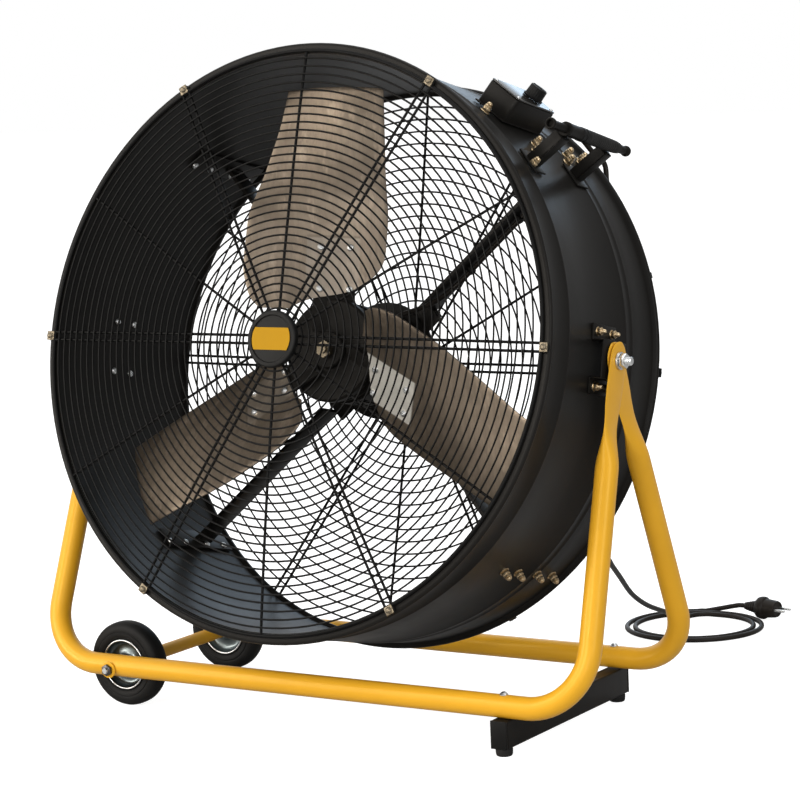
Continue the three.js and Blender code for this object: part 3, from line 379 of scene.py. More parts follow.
def moulded(name, base, roughness, grain):
    """Moulded plastic or rubber with a fine grain."""
    skin = Finish(name, base, roughness, Specular_IOR_Level=0.14)
    cloud = skin.noise(22, 4, 0.6)
    skin.cloudy(cloud.above(0.4, 0.75), 0.9, 1.3)
    skin.put("Roughness", roughness - 0.06 + 0.16 * cloud)
    skin.bump(skin.noise(grain, 3, 0.6), 0.00016, 0.4)
    return skin


def plain(name, base, roughness):
    """Printed or painted on: nearly even, with a slight tooth."""
    skin = Finish(name, base, roughness, Specular_IOR_Level=0.08)
    cloud = skin.noise(48, 3)
    skin.cloudy(cloud, 0.94, 1.04)
    skin.put("Roughness", roughness - 0.05 + 0.1 * cloud)
    return skin


FINISH = {}


def mix_finishes():
    c = bpy.context.scene.fan_colours
    FINISH.update(
        black=enamel("black_enamel", c.black, 0.36, 0.1),
        motor=enamel("motor_enamel", c.black, 0.46, 0.07),
        wire=wire_coat(),
        yellow=yellow_enamel(c),
        zinc=plated("zinc_plate", c.zinc),
        brass=plated("yellow_zinc", c.brass, 0.24),
        clamp=plated("clamp_plate", (0.19, 0.16, 0.115), 0.36),
        steel=plated("dark_steel", (0.10, 0.10, 0.105), 0.3),
        rim=plated("rim_plate", (0.15, 0.175, 0.18), 0.24),
        lid=enamel("lid_enamel", c.black, 0.16, 0.6),
        plastic=moulded("black_plastic", (0.0045, 0.0045, 0.0044), 0.46, 700),
        rubber=moulded("black_rubber", c.rubber, 0.62, 500),
        tyre=moulded("tyre_rubber", (0.008, 0.008, 0.008), 0.55, 320),
        cord=moulded("cord_jacket", (0.013, 0.0105, 0.0085), 0.4, 420),
        label=plain("blank_label", c.label, 0.38),
        band=plain("cap_band", (0.36, 0.19, 0.004), 0.5),
        pointer=plain("pointer_white", (0.72, 0.72, 0.7), 0.45),
    )
    for k, angle in enumerate(BLADE_ANGLES):
        # Each blade gets its own amount of painted reflection on its root.
        FINISH["blade_" + str(k + 1)] = blade_metal(c, angle, PAD_TONE_AND_REFLECTION[k])


# ---------------------------------------------------------------- modelling helpers

# Profiles, corners, widths and places are given to these in mm. A wire, a ring of wire and a
# line of points are in metres.

GAP = 0.3  # left between pieces that touch


def metres(place):
    return Vector([value * MM for value in place])


def at(x=0, y=0, z=0):
    return Matrix.Translation(metres((x, y, z)))


def turn(angle, axis):
    return Matrix.Rotation(math.radians(angle), 4, axis)


def station(angle, radius=0, y=0):
    """A place round the drum: x outwards, z on round the drum."""
    return turn(-angle, "Y") @ at(radius, y)


def flip(side, axis="Y"):
    """Half a turn for the pieces whose side is -1."""
    return turn(180 if side < 0 else 0, axis)


OUTWARD = turn(-90, "Z")  # turns +y to +x
TO_FRONT = OUTWARD  # turns +x to the front
TO_REAR = turn(90, "Z")
INWARD = turn(180, "Y")
UPRIGHT = turn(90, "X")
ENDS = ((-1, "front"), (1, "rear"))


def room(node):
    """The two corners of a node's box."""
    return [[value / MM for value in corner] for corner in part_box(node)]


def reach(node, axis):
    """How near and how far a node lies from the middle along an axis."""
    return sorted(abs(corner[axis]) for corner in room(node))


def deselect():
    if bpy.context.object and bpy.context.object.mode != "OBJECT":
        bpy.ops.object.mode_set(mode="OBJECT")
    bpy.ops.object.select_all(action="DESELECT")


def pick(*pieces):
    deselect()
    for piece in pieces:
        piece.select_set(True)
    bpy.context.view_layer.objects.active = pieces[0]


def named(name):
    piece = bpy.context.object
    piece.name = name
    piece.data.name = name
    return piece


class editing:
    """Edit mode on one piece, with everything selected."""

    def __init__(self, piece):
        self.piece = piece

    def __enter__(self):
        pick(self.piece)
        bpy.ops.object.mode_set(mode="EDIT")
        bpy.ops.mesh.select_mode(type="VERT")
        bpy.ops.mesh.select_all(action="SELECT")

    def __exit__(self, *why):
        bpy.ops.object.mode_set(mode="OBJECT")


def closed_up(piece):
    """Doubles merged and faces turned outwards."""
    with editing(piece):
        bpy.ops.mesh.remove_doubles(threshold=1e-6)
        bpy.ops.mesh.normals_make_consistent(inside=False)


def finish_with(piece, kind, **settings):
    """Adds a modifier and applies it."""
    pick(piece)
    modifier = piece.modifiers.new(kind.lower(), kind)
    for key, value in settings.items():
        setattr(modifier, key, value)
    bpy.ops.object.modifier_apply(modifier=modifier.name)
    return piece


def rounded(piece, width, segments=2, angle=30):
    """Bevels the sharp edges."""
    limit = math.radians(angle)
    return finish_with(piece, "BEVEL", width=width * MM, segments=segments, angle_limit=limit)


def drawn(name, points):
    """A line drawn by extruding one vertex from place to place."""
    deselect()
    bpy.ops.mesh.primitive_plane_add(size=0.01)
    piece = named(name)
    with editing(piece):
        bpy.ops.mesh.merge(type="CENTER")
        bpy.ops.transform.translate(value=points[0])
        for start, end in zip(points, points[1:]):
            step = Vector(end) - Vector(start)
            bpy.ops.mesh.extrude_vertices_move(TRANSFORM_OT_translate={"value": step})
    return piece


def turned(name, profile, steps=48):
    """A round piece: its profile of (radius, y) pairs, spun about the Y axis."""
    piece = drawn(name, [(r * MM, y * MM, 0) for r, y in profile])
    with editing(piece):
        bpy.ops.mesh.spin(steps=steps, angle=TAU, center=(0, 0, 0), axis=(0, 1, 0))
    closed_up(piece)
    return piece


def arc(centre, radius, start, end, steps):
    """Points of an arc in the profile's plane, angles in degrees from outwards to +y."""
    points = []
    for i in range(steps + 1):
        a = math.radians(start + (end - start) * i / steps)
        points.append((centre[0] + radius * math.cos(a), centre[1] + radius * math.sin(a)))
    return points


def mirrored(profile):
    """A profile's other half, back from the last point."""
    return [(r, -y) for r, y in reversed(profile)]


def dome_profile(radius, height, base, steps=5):
    """The upper profile of a domed head, from its edge to the axis."""
    rise = (math.pi / 2 * i / steps for i in range(1, steps + 1))
    return [(radius * math.cos(a), base + height * math.sin(a)) for a in rise]


def block(name, low, high, bevel=0.8, segments=2):
    """A box between two corners, its edges rounded."""
    low, high = metres(low), metres(high)
    deselect()
    bpy.ops.mesh.primitive_cube_add(size=1, location=(low + high) / 2)
    piece = named(name)
    piece.scale = high - low
    bpy.ops.object.transform_apply(location=True, rotation=True, scale=True)
    return rounded(piece, bevel, segments)


def folded_sheet(name, outline, width, thickness, bend):
    """Folded sheet: an outline in x and z drawn out along y, then given its thickness."""
    piece = drawn(name, [metres((x, -width / 2, z)) for x, z in outline])
    draw_out(piece, width)
    finish_with(piece, "SOLIDIFY", thickness=thickness * MM, offset=0)
    closed_up(piece)
    return rounded(piece, bend)


def draw_out(piece, width):
    with editing(piece):
        bpy.ops.mesh.extrude_edges_move(TRANSFORM_OT_translate={"value": (0, width * MM, 0)})


def tile(name, low, high, corner, bevel):
    """A plate that lies across x between two corners, with round corners and soft edges."""
    low, high, corner = metres(low), metres(high), corner * MM
    middle, half = (low + high) / 2, (high - low) / 2
    points = []
    for sy, sz, start in ((1, 1, 0), (-1, 1, 90), (-1, -1, 180), (1, -1, 270)):
        centre = (middle.y + sy * (half.y - corner), middle.z + sz * (half.z - corner))
        points += [(low.x, y, z) for y, z in arc(centre, corner, start, start + 90, 6)]
    piece = drawn(name, points)
    with editing(piece):
        bpy.ops.mesh.edge_face_add()
        bpy.ops.mesh.extrude_region_move(TRANSFORM_OT_translate={"value": (high.x - low.x, 0, 0)})
    closed_up(piece)
    return rounded(piece, bevel, 3, 40)


def prism(name, across, y0, y1, bevel):
    """A hexagon bar along y, such as a bolt's head."""
    deselect()
    bpy.ops.mesh.primitive_cylinder_add(
        vertices=6,
        radius=across * MM / 2 / math.cos(math.pi / 6),
        depth=(y1 - y0) * MM,
        location=(0, (y0 + y1) / 2 * MM, 0),
        rotation=(math.pi / 2, 0, 0),
    )
    piece = named(name)
    bpy.ops.object.transform_apply(location=True, rotation=True, scale=True)
    return rounded(piece, bevel)


def wire(name, points, radius, sides=8):
    """A round wire or tube through points. Its curve is made a mesh."""
    deselect()
    bpy.ops.curve.primitive_nurbs_path_add()
    piece = named(name)
    line = piece.data
    line.splines.clear()
    spline = line.splines.new("POLY")
    spline.points.add(len(points) - 1)
    for point, place in zip(spline.points, points):
        point.co = (*place, 1)
    line.bevel_depth = radius
    line.bevel_resolution = (sides - 4) // 2
    line.use_fill_caps = True
    pick(piece)
    bpy.ops.object.convert(target="MESH")
    piece = bpy.context.object
    closed_up(piece)
    return piece


def ring(name, radius, y, thickness, sides=6, spacing=0.014):
    """A closed ring of wire about the Y axis, in metres."""
    deselect()
    bpy.ops.mesh.primitive_torus_add(
        major_segments=max(40, round(TAU * radius / spacing)),
        minor_segments=sides,
        major_radius=radius,
        minor_radius=thickness / 2,
        location=(0, y, 0),
        rotation=(math.pi / 2, 0, 0),
    )
    return named(name)


def copies(pattern, places):
    """A copy with its own mesh at each place. The pattern goes."""
    twins = []
    for place in places:
        twin = pattern.copy()
        twin.data = pattern.data.copy()
        bpy.context.scene.collection.objects.link(twin)
        twin.data.transform(place @ pattern.matrix_world)
        twin.matrix_world = HERE
        twins.append(twin)
    bpy.data.objects.remove(pattern)
    return twins


def joined(name, *pieces):
    pick(*pieces)
    bpy.ops.object.join()
    return named(name)


def scatter(name, pattern, places):
    """Copies of a pattern at many places, joined in one piece."""
    return joined(name, *copies(pattern, places))


def placed(piece, place):
    """Lays a piece at a place and takes that into its mesh."""
    piece.matrix_world = place @ piece.matrix_world
    pick(piece)
    bpy.ops.object.transform_apply(location=True, rotation=True, scale=True)
    return piece


def shape(piece, move):
    """Moves each vertex by a function of its place."""
    for vertex in piece.data.vertices:
        vertex.co = move(vertex.co.copy())
    piece.data.update()
    return piece


def wrapped(piece, radius):
    """Bends a flat piece to a round wall."""
    return shape(piece, lambda p: Vector((p.x - p.z * p.z / 2 / (radius * MM), p.y, p.z)))


def coat(piece, finish):
    piece.data.materials.clear()
    piece.data.materials.append(FINISH[finish].material)


def smoothed(piece, angle):
    pick(piece)
    bpy.ops.object.shade_smooth_by_angle(angle=math.radians(angle))


def dress(piece, finish, body, place=HERE, replaces=(), smooth=32):
    """Places a finished piece, gives it its finish and lets it ride on its body."""
    placed(piece, place)
    smoothed(piece, smooth)
    coat(piece, finish)
    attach(piece, body)
    if replaces:
        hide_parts(*replaces)
    return piece


def dress_round(name, profile, steps, finish, body, place, replaces=(), smooth=32):
    """A turned piece, placed and finished."""
    return dress(turned(name, profile, steps), finish, body, place, replaces, smooth)


def dress_many(name, pattern, places, finish, place=DRUM):
    """Fasteners or the like on the drum, made once and laid at many places."""
    return dress(scatter(name, pattern, places), finish, "drum", place)


# ---------------------------------------------------------------- fasteners


# Flange radius and top, size across the nut and its top, collar radius and top, thread radius and
# tip.
SMALL_NUT = (6.4, 1.2, 10, 6.6, 4.2, 7.8, 3.1, 13.3)
LARGE_NUT = (7.2, 1.4, 10.8, 7.6, 4.9, 10.8, 4.2, 15.8)
NUT_EDGE = 0.4
THREAD_TURNS = 4


def nut_stud(sizes=LARGE_NUT):
    """A flanged hexagon nut and the domed end of a bolt, standing up along +x."""
    flange, low, across, nut_top, collar, top, thread, tip = sizes
    edge = NUT_EDGE
    profile = [(0, 0), (flange, 0), (flange, low - edge), (flange - edge, low), (0, low)]
    washer = turned("washer", profile, 28)
    nut = prism("nut", across, low, nut_top, across * 0.06)
    profile = [(0, nut_top - edge), (collar, nut_top - edge), (collar, top - edge)]
    profile += [(collar - edge, top), (0, top)]
    end = [(0, top - edge)]
    rise = (tip - thread * 0.6 - top) / THREAD_TURNS
    for i in range(THREAD_TURNS):
        end += [(thread * 0.9, top + rise * i), (thread, top + rise * (i + 0.5))]
    end += [(thread * 0.9, tip - thread * 0.5), (thread * 0.6, tip - thread * 0.15), (0, tip)]
    parts = (washer, nut, turned("collar", profile, 24), turned("thread", end, 20))
    return placed(joined("nut_stud", *parts), OUTWARD)


def button(radius=5.2, height=3.2):
    """A button head with a hexagon socket, standing up along +x."""
    profile = [(0, height * 0.45), (radius * 0.42, height * 0.45), (radius * 0.46, height)]
    profile += [(radius * 0.72, height * 0.9), (radius * 0.93, height * 0.55), (radius, 0), (0, 0)]
    return placed(turned("button", profile, 14), OUTWARD)


# ---------------------------------------------------------------- drum


RIDGES = (87, 68, -97)  # middles of the shallow swages round the sheet
SWAGE = ((4.2, 0), (2.2, 0.9), (0, 1.3), (-2.2, 0.9), (-4.2, 0))
LIP = 8  # how far the ends turn inwards


def make_drum_sheet(s):
    """The rolled sheet with a beaded ring at each end and shallow swages round it."""
    radius, wall, face, bead = s.radius / MM, s.wall / MM, s.depth / MM / 2, s.bead / MM
    lip = radius - LIP
    outer = [(lip, face - 1.5), (lip, face)]
    outer += arc((s.ring / MM - bead / 2, face - bead / 2), bead / 2, 90, -70, 8)
    outer += [(radius + 1, face - bead - 1.2), (radius, face - bead - 3.5)]
    middle = [(radius + rise, y + dy) for y in RIDGES for dy, rise in SWAGE]
    inner = [(lip, wall - face), (radius - wall, bead - face), (radius - wall, face - bead)]
    inner += [(lip, face - wall), (lip, face - 1.5)]
    profile = outer + middle + mirrored(outer) + inner
    dress_round("drum_sheet", profile, s.steps, "black", "drum", DRUM, ["drum_shell"], 28)


# ---------------------------------------------------------------- guards


FIRST_RING = 44 * MM
SPOKE_START = 30 * MM
SPOKE_PARTS = 9
DOMES = {"front": 17 * MM, "rear": 10 * MM}  # how far each guard stands out in the middle


def dome(height, r, rim):
    return height * (1 - (r / rim) ** 2)


def face_y(side, stand):
    """A place a little outside the drum's face; side is -1 in front."""
    return side * (bpy.context.scene.fan_drum.depth / 2 + stand)


def spoke_line(s, side, height, radii, offset):
    """Points of a radial wire that follows the guard's dome."""
    y0 = face_y(side, s.spoke_wire / 2 + 0.5 * MM)
    return [(r, y0 + side * dome(height, min(r, s.rim), s.rim), offset) for r in radii]


def make_guard(side, end, pitch):
    """Rings, six hairpins round the clamp bolts and six single spokes."""
    s = bpy.context.scene.fan_guard
    height, half = DOMES[end], s.pair / 2
    wires = [ring("rim", s.rim, face_y(side, 0.3 * MM + s.rim_wire / 2), s.rim_wire, 8)]
    number = int((s.rim - FIRST_RING) / pitch + 0.5)
    on_top = side * (s.spoke_wire / 2 + s.ring_wire / 2 - 0.3 * MM)
    for i in range(number):
        r = FIRST_RING + i * (s.rim - FIRST_RING) / number
        y = spoke_line(s, side, height, [r], 0)[0][1] + on_top
        wires.append(ring("ring", r, y, s.ring_wire))
    step = (s.bolts - SPOKE_START) / SPOKE_PARTS
    radii = [SPOKE_START + i * step for i in range(SPOKE_PARTS + 1)]
    out = spoke_line(s, side, height, radii, -half)
    bend = [
        (s.bolts + half * math.sin(a) * 0.9, out[-1][1], -half * math.cos(a))
        for a in (math.pi / 6 * i for i in range(1, 6))
    ]
    back = spoke_line(s, side, height, radii[::-1], half)
    hairpin = wire("hairpin", out + bend + back, s.spoke_wire / 2)
    single_radii = [r for r in radii if r < s.rim] + [s.rim]
    single = wire("single", spoke_line(s, side, height, single_radii, 0), s.spoke_wire / 2)
    wires += copies(hairpin, [station(60 * k) for k in range(6)])
    wires += copies(single, [station(60 * k + 30) for k in range(6)])
    dress(joined(end + "_grille", *wires), "wire", "drum", DRUM, [end + "_guard"], 60)


def make_guard_clamps(side, end, finish):
    """A square clamp plate and a domed bolt on each hairpin."""
    s = bpy.context.scene.fan_guard
    plate = block("plate", (-6.5, 0, -6.5), (5.8, 2.2, 6.5), 0.9)
    washer = turned("washer", [(0, 2), (5.6, 2), (5.4, 3), (0, 3)], 18)
    head = turned("head", [(0, 2.9), (4.6, 2.9)] + dome_profile(4.6, 3.2, 2.9), 18)
    clamp = joined("clamp", plate, washer, head)
    placed(clamp, flip(side, "X"))
    y0 = face_y(side, s.spoke_wire + 0.8 * MM) / MM
    places = [station(60 * k, s.bolts / MM, y0) for k in range(6)]
    dress_many(end + "_clamps", clamp, places, finish)


CAP_BACK, CAP_TOP = -185.4, -195.4
BAND_REACH, BAND_HALF = 31.5, 15.5
REAR_CAP = 177.8  # its inner face


def make_front_cap():
    """The moulded cap in front: a raised rim round a shallow dish, with a blank band."""
    back, top = CAP_BACK, CAP_TOP
    profile = [(0, back), (39, back), (40, back - 1.5), (40, back - 6.5)]
    profile += arc((37, back - 7), 3, 0, -90, 5)
    profile += [(33.5, top - 0.4), (32.3, top + 1.6), (22, top + 0.6), (0, top + 0.2)]
    dress_round("front_cap_cover", profile, 72, "plastic", "drum", DRUM, ["front_cap"])
    profile = [(0, 0), (BAND_REACH, 0), (BAND_REACH, -0.5), (0, -0.5)]
    band = turned("front_cap_band", profile, 72)
    with editing(band):
        for sign in (-1, 1):
            bpy.ops.mesh.select_all(action="SELECT")
            bpy.ops.mesh.bisect(
                plane_co=(0, 0, sign * BAND_HALF * MM),
                plane_no=(0, 0, sign),
                use_fill=True,
                clear_outer=True,
            )
    closed_up(band)
    dress(band, "band", "drum", DRUM @ at(0, top + 0.1))


def make_rear_cap():
    """The plate where the rear guard's spokes meet."""
    y = REAR_CAP
    profile = [(0, y), (40, y), (40, y + 2.5), (38, y + 4), (30, y + 4), (28, y + 3), (0, y + 3)]
    dress_round("rear_cap_cover", profile, 64, "plastic", "drum", DRUM, ["rear_cap"])


# ---------------------------------------------------------------- motor


MOTOR_RADIUS = 72
MOTOR_FRONT, MOTOR_BACK = -6, 84


def sink_slots(piece, wanted, depth, margin):
    """Insets and sinks the faces whose middle and normal are wanted."""
    with editing(piece):
        bpy.ops.mesh.select_all(action="DESELECT")
        bpy.ops.mesh.select_mode(type="FACE")
        bpy.ops.object.mode_set(mode="OBJECT")
        for face in piece.data.polygons:
            face.select = in_slot(face.center) and wanted(face.center / MM, face.normal)
        bpy.ops.object.mode_set(mode="EDIT")
        bpy.ops.mesh.inset(thickness=margin * MM, use_individual=True)
        bpy.ops.mesh.inset(thickness=margin * 0.3 * MM, depth=-depth * MM, use_individual=True)


def in_slot(centre):
    """True for three of every five steps of 9 degrees."""
    return int(math.degrees(math.atan2(centre.z, centre.x)) % 360 / 9) % 5 < 3


def make_motor():
    """A ribbed stator shell between two domed end shields with cooling slots."""
    dress(motor_shell(), "motor", "drum", DRUM, ["motor_body"], 35)
    for side, end in ENDS:
        dress(motor_shield(side, end), "motor", "drum", DRUM, ["motor_" + end + "_shield"], 35)
    places = [station(45 + 90 * k, 58, MOTOR_FRONT - 10.6) @ TO_FRONT for k in range(4)]
    dress_many("motor_bolts", button(3.6, 3), places, "brass")
    label = wrapped(block("motor_label", (0, -9, -7), (0.5, 11, 7), 0.15), MOTOR_RADIUS)
    dress(label, "label", "drum", DRUM @ station(16, MOTOR_RADIUS + 0.25, 22))


def motor_shell():
    r, y0, y1 = MOTOR_RADIUS, MOTOR_FRONT, MOTOR_BACK
    profile = [(0, y0), (r - 2, y0), (r, y0 + 2), (r, y0 + 8), (r, y0 + 25), (r - 1.5, y0 + 27)]
    profile += [(r - 1.5, y1 - 27), (r, y1 - 25), (r, y1 - 8), (r, y1 - 2), (r - 2, y1), (0, y1)]
    shell = turned("motor_shell", profile, 40)

    def wanted(centre, normal):
        at_end = y0 + 8 < centre.y < y0 + 25 or y1 - 25 < centre.y < y1 - 8
        return at_end and abs(normal.y) < 0.1

    sink_slots(shell, wanted, 2.5, 1.6)
    fin = block("fin", (r - 3, y0 + 28, -0.9), (r - 0.1, y1 - 28, 0.9), 0.3)
    fins = copies(fin, [station(12 * k) for k in range(30)])
    return joined("motor_shell", shell, *fins)


def motor_shield(side, end):
    y = (-MOTOR_FRONT if side < 0 else MOTOR_BACK) + GAP
    r = MOTOR_RADIUS - 3
    hole = 9.8 if side < 0 else 0
    profile = [(hole, y), (r, y), (r, y + 6), (r - 2.5, y + 8.6), (r - 8, y + 10.4)]
    profile += [(r - 26, y + 10.4), (24, y + 9.4), (23, y + 11), (hole + 2, y + 11)]
    profile += [(hole, y + 10), (hole, y)]
    shield = turned("motor_" + end + "_cover", [(a, side * b) for a, b in profile], 40)

    def wanted(centre, normal):
        return r - 26 < math.hypot(centre.x, centre.z) < r - 8 and side * normal.y > 0.9

    sink_slots(shield, wanted, 4, 2)
    return shield


STRUT_ANGLES = {"ur": 45, "ul": 135.5, "ll": 224, "lr": 313.4}
STRUT_BOLTS = (-8, 30, 84, 127)
WALL_FACE = 407.74
ARM_BACK = 103.9  # the rear face of the struts' tabs


def make_motor_mount():
    """The pressed ring behind the motor, with a lug for each strut."""
    y0 = MOTOR_BACK + 11.6
    y1 = y0 + 4
    profile = [(40, y0), (85, y0), (86, y0 + 1), (86, y1 - 0.6), (85, y1), (76, y1)]
    profile += [(74, y1 - 1.2), (54, y1 - 1.2), (52, y1), (41, y1), (40, y1 - 1), (40, y0)]
    ring_plate = turned("ring_plate", profile, 72)
    lug = block("lug", (80, y0, -20), (110, y1, 20), 1.4, 3)
    lugs = copies(lug, [station(angle) for angle in STRUT_ANGLES.values()])
    plate = joined("motor_mount_plate", ring_plate, *lugs)
    dress(plate, "black", "drum", DRUM, ["motor_mount"])


def make_strut(name, angle):
    """A flat arm folded into a foot on the drum's wall and a tab on the motor's mount."""
    wall, back = WALL_FACE, ARM_BACK
    foot = wrapped(block("foot", (wall - 4, -13, -17), (wall, 145, 17), 1.2), wall)
    arm = block("arm", (110.3, back - 40, -3), (wall - 3, back, 3), 1)
    gussets = [
        block("gusset", (wall - 9, back - 39, z - 3), (wall - 3.5, back - 1, z + 3), 2.4)
        for z in (-2, 2)
    ]
    tab = block("tab", (76.3, back - 4, -16), (112.3, back, 16), 1.2)
    strut = joined("strut_arm_" + name, foot, arm, tab, *gussets)
    dress(strut, "black", "drum", DRUM @ station(angle), ["strut_" + name])


def make_strut_bolts():
    """Screw heads inside the drum, nuts outside it and bolts through the motor's mount."""
    angles = STRUT_ANGLES.values()
    spots = [(a, y) for a in angles for y in STRUT_BOLTS]
    inner = [station(a) @ at(WALL_FACE - 4, y, 9) @ INWARD for a, y in spots]
    dress_many("strut_screws", button(), inner, "zinc")
    radius = bpy.context.scene.fan_drum.radius / MM
    dress_many("strut_nuts", nut_stud(), [station(a + 1, radius, y) for a, y in spots], "brass")
    tabs = ((88, 9), (102, -9))
    places = [station(a) @ at(r, ARM_BACK, z) @ TO_REAR for a in angles for r, z in tabs]
    dress_many("mount_nuts", nut_stud(SMALL_NUT), places, "brass")


# The motor's lead: outwards along the upper right strut, along the fan's axis and to the side.
MOTOR_LEAD = (
    (72.6, 30, 2),
    (88, 32, 3),
    (124, 62, 10),
    (162, 84, 8),
    (242, 86, 8),
    (340, 86, 8),
    (385, 74, 11),
    (398, 40, 24),
)


def beside_strut(r, y, side):
    out, across = Vector((1, 0, 1)).normalized(), Vector((1, 0, -1)).normalized()
    return Vector((0, y * MM, 0)) + out * r * MM + across * side * MM


def make_motor_cable():
    """The motor's lead, which two clamps hold on the upper right strut."""
    line = smooth_line([beside_strut(*place) for place in MOTOR_LEAD], 8)
    cable = wire("motor_lead", line, 3.9 * MM, 12)
    dress(cable, "cord", "drum", DRUM, ["motor_cable"], 60)
    clamps = []
    for r in (196, 300):
        band = drawn("band", [metres((x, -4, z)) for x, z in arc((0, 0), 4.6, 0, 360, 20)])
        draw_out(band, 8)
        closed_up(band)
        finish_with(band, "SOLIDIFY", thickness=0.9 * MM, offset=1)
        spot = Matrix.Translation(beside_strut(r, 86, 8)) @ turn(45, "Y") @ TO_REAR
        clamps.append(placed(band, spot))
    dress(joined("lead_clamps", *clamps), "plastic", "drum", DRUM)


def smooth_line(points, steps):
    """A smooth line through points, with a number of steps between each two."""
    points = [Vector(p) for p in points]
    ends = [points[0] * 2 - points[1]] + points + [points[-1] * 2 - points[-2]]
    line = []
    for i in range(1, len(ends) - 2):
        a, b, c, d = ends[i - 1 : i + 3]
        for k in range(steps):
            t = k / steps
            bent = (2 * a - 5 * b + 4 * c - d) * t * t + (3 * b - a - 3 * c + d) * t ** 3
            line.append(0.5 * (2 * b + (c - a) * t + bent))
    line.append(points[-1])
    return line


# ---------------------------------------------------------------- hub and blades


BLADE_ANGLES = (93.1, 213.1, 333.1)
HUB_PITCH = math.radians(33.5)
ARM_THICK = 4
ROOT_SLOPE = 0.66
BLADE_BOLTS = [(r, c) for r in (88, 148) for c in (-21, 21)]
BLADE_ROWS, BLADE_COLUMNS = 64, 22
CROWDING = 1.4  # above 1, the rows lie closer together near the root
BOW_FROM, BOW_GROWS = 160 * MM, 60 * MM  # where the camber starts, and over what length
TIP_CORNER = 29 * MM  # the length over which the tip is rounded
TIP_ROUNDNESS = 0.35

# From root to tip: radius, the edges across the blade, both in mm, and its slope. Near the root
# one edge runs round the hub.
BLADE_STATIONS = (
    (58, -87, -51.5, ROOT_SLOPE),
    (64, -93, -44, ROOT_SLOPE),
    (70, -97.5, -34, ROOT_SLOPE),
    (74, -99, -24, ROOT_SLOPE),
    (77, -100.5, -12, ROOT_SLOPE),
    (79, -101, 2, ROOT_SLOPE),
    (81.5, -102, 16, ROOT_SLOPE),
    (88, -103.5, 27, ROOT_SLOPE),
    (109, -108, 51, ROOT_SLOPE),
    (130, -108, 61, ROOT_SLOPE),
    (195, -105, 64, 0.63),
    (250, -93, 63, 0.5),
    (320, -79, 63, 0.39),
    (379, -71, 62, 0.32),
)


def blade_at(r, column):
    """A blade's value between two stations, by its radius in mm."""
    for low, high in zip(BLADE_STATIONS, BLADE_STATIONS[1:]):
        if r <= high[0]:
            k = max(0, (r - low[0]) / (high[0] - low[0]))
            return low[column] + (high[column] - low[column]) * k
    return BLADE_STATIONS[-1][column]


def eased(r, column):
    """The same, with the corners between stations rounded off, more so towards the tip."""
    spread = min(12, max(0.5, (r - 56) * 0.16))
    first, last = BLADE_STATIONS[0][0], BLADE_STATIONS[-1][0]
    inside = [min(last, max(first, r + d * spread)) for d in (-1, -0.5, 0, 0.5, 1)]
    return sum(blade_at(u, column) for u in inside) / len(inside)


def on_arm(s):
    """Where the blades lie along the fan's axis, on the front of the hub's arms."""
    return s.plane - (ARM_THICK / 2 + GAP) * MM / math.cos(HUB_PITCH)


def ramp(value, start, width):
    return min(1, max(0, (value - start) / width))


def make_blade(number, angle):
    """A pitched and cambered sheet blade."""
    s = bpy.context.scene.fan_blade
    name = "blade_" + str(number)
    deselect()
    grid = {"x_subdivisions": BLADE_ROWS, "y_subdivisions": BLADE_COLUMNS}
    bpy.ops.mesh.primitive_grid_add(size=1, **grid)
    blade = named("blade_sheet_" + str(number))

    def place(p):
        across = 0.5 - p.y
        r = s.root + (s.tip - s.root) * (p.x + 0.5) ** CROWDING
        left, right = eased(r / MM, 1), eased(r / MM, 2)
        c = (left + (right - left) * across) * MM
        bow = -s.camber * 4 * across * (1 - across) * ramp(r, BOW_FROM, BOW_GROWS)
        round_tip = ramp(r, s.tip - TIP_CORNER, TIP_CORNER)
        drop = (r - math.sqrt(r * r - c * c * TIP_ROUNDNESS)) * round_tip
        return Vector((r - drop, on_arm(s) + eased(r / MM, 3) * c + bow, -c))

    shape(blade, place)
    finish_with(blade, "SOLIDIFY", thickness=s.thickness, offset=1)
    closed_up(blade)
    if blade_faces_back(blade, s):
        raise RuntimeError("a blade's wall went the wrong way")
    rounded(blade, 0.7, 2, 50)
    dress(blade, name, "rotor", DRUM @ station(angle), [name], 40)


def blade_faces_back(blade, s):
    """True if the wall was added behind the blade, where the arm is."""
    places = [v.co for v in blade.data.vertices]
    at_root = [p for p in places if p.x < s.root + 38 * MM and abs(p.z) < 8 * MM]
    return max(p.y + ROOT_SLOPE * p.z for p in at_root) > on_arm(s) + 1 * MM


def make_blade_bolts():
    """Four domed bolts through each blade and its arm."""
    s = bpy.context.scene.fan_blade
    stand = -(ARM_THICK / 2 + GAP + s.thickness / MM)
    pitch = Matrix.Rotation(HUB_PITCH, 4, "X")
    places = [
        station(angle, r, s.plane / MM) @ pitch @ at(0, stand, c) @ TO_FRONT
        for angle in BLADE_ANGLES
        for r, c in BLADE_BOLTS
    ]
    dress(scatter("blade_bolts", button(5.4, 3.4), places), "zinc", "rotor", DRUM)


